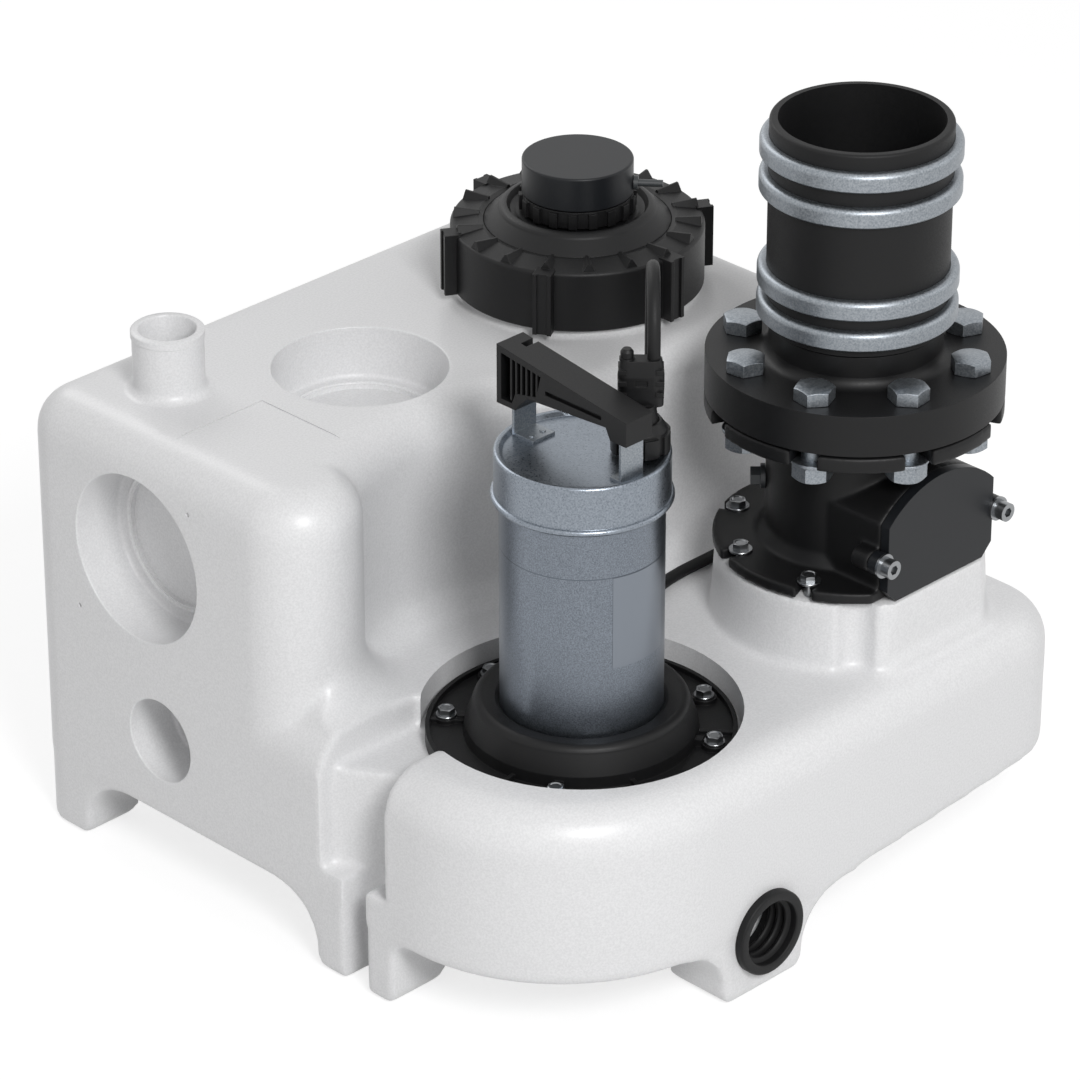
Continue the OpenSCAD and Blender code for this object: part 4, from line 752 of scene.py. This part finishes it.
def makeSleeve(s):
    # rubber drain sleeve: a rounded lip outside, three soft sealing ribs inside
    outer, inner, proud, half = s["outer"], s["inner"], s["proud"], s["ribHalf"]
    profile = [(s["barrel"], s["barrelEnd"], "round"), (s["barrel"], 0.1, "round"), (outer, 0.1, "round")]
    profile += arcPoints(outer - 1.5, proud - 1.5, 1.5, 0, 90, 4)
    profile += arcPoints(inner + 1.2, proud - 1.2, 1.2, 90, 180, 4)
    for z in s["ribs"]:
        depth = inner - s["ribInner"]
        profile += [(inner, z + half + 0.4, "round")]
        profile += [(inner - depth * math.sin(math.radians(t)), z + half * math.cos(math.radians(t)), "round")
                    for t in (20, 45, 70, 90, 110, 135, 160)]
        profile += [(inner, z - half - 0.4, "round")]
    profile += [(inner, s["barrelEnd"], "round")]
    mesh = ringMesh("drainSleeve", inMetres(profile), 72, closed=True)
    mesh.transform(placed(tankSetup["drain"], forward))
    sleeve = meshObject("drainSleeve", mesh, epdmRubber)
    smoothByAngle(mesh, s["creaseAngle"])
    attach(sleeve, "base")
    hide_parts("drain_sleeve")
    print("drain sleeve made")


makeSleeve(sleeveSetup)


def screwProfile(length):
    # small hexagon screw with a shallow round dish in its head
    return [(3, -length, "round"), (3, 0, "round"), (5, 0, "hex"), (5, 4.4, "hexTop"),
            (4.75, 4.4, "round"), (4, 4.4, "round"), (3.4, 3.9, "round")]


def washerProfile(inner, outer, thickness, edge, edgeDrop):
    return [(inner, 0, "round"), (outer - edge, 0, "round"), (outer, edgeDrop, "round"),
            (outer, thickness - edgeDrop, "round"), (outer - edge, thickness, "round"), (inner, thickness, "round")]


boltAngles = [22.5 + 45 * k for k in range(8)]
pumpAngles = [33, 87, 127, 214, 300, 340]
valveAngles = [22.5, 67.5, 112.5, 157.5, 202.5, 337.5]

# the flanges' and the pump's fasteners: where they stand, and the profile of one, in millimetres
fastenerSetup = {
    "flange_bolts": {
        "centre": outletAxis, "radius": 80.0, "z": 369.0, "angles": boltAngles, "finish": "zinc_plate",
        "profile": [(8, -55, "round"), (8, 0, "round"), (11.8, 0, "round"), (12, 0.4, "hex"),
                    (12, 10, "hexTop"), (11.4, 10, "round")]},
    "bolt_washers": {
        "centre": outletAxis, "radius": 80.0, "z": 324.5, "angles": boltAngles, "finish": "zinc_plate",
        "profile": washerProfile(8.3, 15, 2.5, 0.4, 0.4)},
    "flange_nuts": {
        "centre": outletAxis, "radius": 80.0, "z": 312.5, "angles": boltAngles, "finish": "zinc_plate",
        "hollow": True,
        "profile": [(8.05, 1.2, "round"), (8.6, 0, "round"), (11.4, 0, "round"), (12, 0, "hexLow"),
                    (12, 12, "hexTop"), (11.4, 12, "round"), (8.05, 12, "round")]},
    "pump_screws": {
        "centre": pumpAxis, "radius": 90.0, "z": 162.6, "angles": pumpAngles, "finish": "stainless",
        "profile": screwProfile(20)},
    "pump_washers": {
        "centre": pumpAxis, "radius": 90.0, "z": 161.0, "angles": pumpAngles, "finish": "stainless",
        "profile": washerProfile(3.2, 7, 1.6, 0.2, 0.3)},
    "valve_screws": {
        "centre": outletAxis, "radius": 81.0, "z": 236.1, "angles": valveAngles, "finish": "stainless",
        "profile": screwProfile(26)},
    "valve_washers": {
        "centre": outletAxis, "radius": 81.0, "z": 234.5, "angles": valveAngles, "finish": "stainless",
        "profile": washerProfile(3.2, 8, 1.6, 0.2, 0.3)},
}


def fastenerTree():
    # sets one fastener on every point, turned as the point says
    tree = bpy.data.node_groups.new("fastenersOnPoints", "GeometryNodeTree")
    for name, kind in (("Places", "Geometry"), ("Fastener", "Object"), ("Size", "Float"), ("Finish", "Material")):
        tree.interface.new_socket(name, in_out="INPUT", socket_type="NodeSocket" + kind)
    tree.interface.new_socket("Geometry", in_out="OUTPUT", socket_type="NodeSocketGeometry")
    entry = addNode(tree, "NodeGroupInput")
    info = addNode(tree, "GeometryNodeObjectInfo", None, {"Object": entry.outputs["Fastener"]})
    turn = addNode(tree, "GeometryNodeInputNamedAttribute", {"data_type": "FLOAT_VECTOR", "Name": "turn"})
    euler = addNode(tree, "FunctionNodeEulerToRotation", None, {0: turn.outputs[0]})
    spread = addNode(tree, "GeometryNodeInstanceOnPoints", None,
                     {"Points": entry.outputs["Places"], "Instance": info.outputs["Geometry"],
                      "Rotation": euler.outputs[0], "Scale": entry.outputs["Size"]})
    real = addNode(tree, "GeometryNodeRealizeInstances", None, {"Geometry": spread.outputs["Instances"]})
    finish = addNode(tree, "GeometryNodeSetMaterial", None,
                     {"Geometry": real.outputs["Geometry"], "Material": entry.outputs["Finish"]})
    leave = addNode(tree, "NodeGroupOutput")
    tree.links.new(finish.outputs["Geometry"], leave.inputs["Geometry"])
    return tree


def makeFasteners(node, s, tree):
    one = ringMesh(node, inMetres(s["profile"]), closed=s.get("hollow", False))
    smoothByAngle(one, 28)
    finish = materialOf[s["finish"]]
    template = meshObject(node + "One", one, finish)
    places = bpy.data.meshes.new(node + "Places")
    spots, turns = [], []
    for angle in s["angles"]:
        a = math.radians(angle)
        fromCentre = Vector((s["radius"] * mm * math.cos(a), s["radius"] * mm * math.sin(a), s["z"] * mm))
        spots.append(s["centre"] + fromCentre)
        turns += [0.0, 0.0, a]
    places.from_pydata(spots, [], [])
    places.attributes.new("turn", "FLOAT_VECTOR", "POINT").data.foreach_set("vector", turns)
    first, second = node.split("_")
    fasteners = meshObject(first + second.capitalize(), places, finish)
    modifier = fasteners.modifiers.new("fasteners", "NODES")
    modifier.node_group = tree
    sockets = {item.name: item.identifier for item in tree.interface.items_tree}
    modifier[sockets["Fastener"]] = template
    modifier[sockets["Size"]] = 1.0
    modifier[sockets["Finish"]] = finish
    fasteners.data = evaluated(fasteners)
    bpy.data.objects.remove(template)
    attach(fasteners, "base")
    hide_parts(node)


tree = fastenerTree()
for node, settings in fastenerSetup.items():
    makeFasteners(node, settings, tree)
print("fasteners made")


plateSetup = {
    "from": 246.0,  # degrees round the motor
    "to": 295.0,
    "low": 0.232,
    "high": 0.298,
    "sides": (0.05, 0.25),  # millimetres off the tube, its back and its face
    "steps": 24,
}


def makePlate(s):
    # bare foil plate bent round the motor, with nothing printed on it
    steps = s["steps"]
    verts, faces = [], []
    for proud in s["sides"]:
        r = motorRadius + proud * mm
        for i in range(steps + 1):
            a = math.radians(s["from"] + (s["to"] - s["from"]) * i / steps)
            for z in (s["low"], s["high"]):
                verts.append((pumpAxis.x + r * math.cos(a), pumpAxis.y + r * math.sin(a), z))
    back = 2 * (steps + 1)
    for i in range(steps):
        a = 2 * i
        faces += [(a, a + 1, a + 3, a + 2), (back + a, back + a + 2, back + a + 3, back + a + 1),
                  (a, a + 2, back + a + 2, back + a), (a + 1, back + a + 1, back + a + 3, a + 3)]
    last = 2 * steps
    faces += [(0, back, back + 1, 1), (last, last + 1, back + last + 1, back + last)]
    mesh = meshFrom("motorPlate", verts, faces)
    plate = meshObject("motorPlate", mesh, rolledFoil)
    smoothByAngle(mesh)
    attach(plate, "base")
    print("plate made")


makePlate(plateSetup)


studioSetup = {
    "paper": "#E4E4E4",
    "shade": "#A0A0A0",
    "glow": 0.75,
    "floorHalf": 6.0,
    "world": 0.44,
    "lightsAim": (0, 0, 0.2),
    # name: place, size, power
    "lights": {
        "key": ((-1.2, -2.2, 2.1), 0.9, 56.0),
        "side": ((2.2, -1.5, 1.6), 1.2, 4.0),
        "rim": ((0.4, 2.2, 2.0), 1.2, 12.0),
    },
}


def whiteToCamera(tree, plain, output, white):
    # camera, glossy and clear rays see white, all others the plain shader
    path = addNode(tree, "ShaderNodeLightPath")
    glossy = addNode(tree, "ShaderNodeMath", {"operation": "MAXIMUM"},
                     {0: path.outputs["Is Camera Ray"], 1: path.outputs["Is Glossy Ray"]})
    seen = addNode(tree, "ShaderNodeMath", {"operation": "MAXIMUM"},
                   {0: glossy.outputs[0], 1: path.outputs["Is Transmission Ray"]})
    mix = addNode(tree, "ShaderNodeMixShader", None, {0: seen.outputs[0], 1: plain, 2: white})
    tree.links.new(mix.outputs[0], output)


def makeFloor(s):
    # white in the picture, a little darker where the object keeps the light off
    r = s["floorHalf"]
    mesh = bpy.data.meshes.new("floor")
    mesh.from_pydata([(-r, -r, 0), (r, -r, 0), (r, r, 0), (-r, r, 0)], [], [(0, 1, 2, 3)])
    floorMat = bpy.data.materials.new("paperFloor")
    floorMat.use_nodes = True
    tree = floorMat.node_tree
    tree.nodes.clear()
    output = addNode(tree, "ShaderNodeOutputMaterial")
    paper = addNode(tree, "ShaderNodeBsdfDiffuse", {"Color": toLinear(s["paper"])})
    shade = addNode(tree, "ShaderNodeBsdfDiffuse", {"Color": toLinear(s["shade"])})
    glow = addNode(tree, "ShaderNodeEmission", {"Color": toLinear("#FFFFFF"), "Strength": s["glow"]})
    both = addNode(tree, "ShaderNodeAddShader", None, {0: shade.outputs[0], 1: glow.outputs[0]})
    whiteToCamera(tree, paper.outputs[0], output.inputs[0], both.outputs[0])
    floor = meshObject("floor", mesh, floorMat)


def makeWorld(s):
    world = bpy.data.worlds.new("studio")
    world.use_nodes = True
    tree = world.node_tree
    tree.nodes.clear()
    output = addNode(tree, "ShaderNodeOutputWorld")
    dim = addNode(tree, "ShaderNodeBackground", {"Color": (1, 1, 1, 1), "Strength": s["world"]})
    white = addNode(tree, "ShaderNodeBackground", {"Color": (1, 1, 1, 1), "Strength": 1.0})
    whiteToCamera(tree, dim.outputs[0], output.inputs[0], white.outputs[0])
    bpy.context.scene.world = world


def makeLights(s):
    for name, (place, size, power) in s["lights"].items():
        data = bpy.data.lights.new(name, "AREA")
        data.shape = "DISK"
        data.size = size
        data.energy = power
        light = bpy.data.objects.new(name, data)
        light.location = place
        light.rotation_mode = "QUATERNION"
        light.rotation_quaternion = (Vector(s["lightsAim"]) - Vector(place)).to_track_quat("-Z", "Y")
        bpy.context.collection.objects.link(light)


makeFloor(studioSetup)
makeWorld(studioSetup)
makeLights(studioSetup)
bpy.context.scene.view_settings.view_transform = "Standard"
print("studio made")
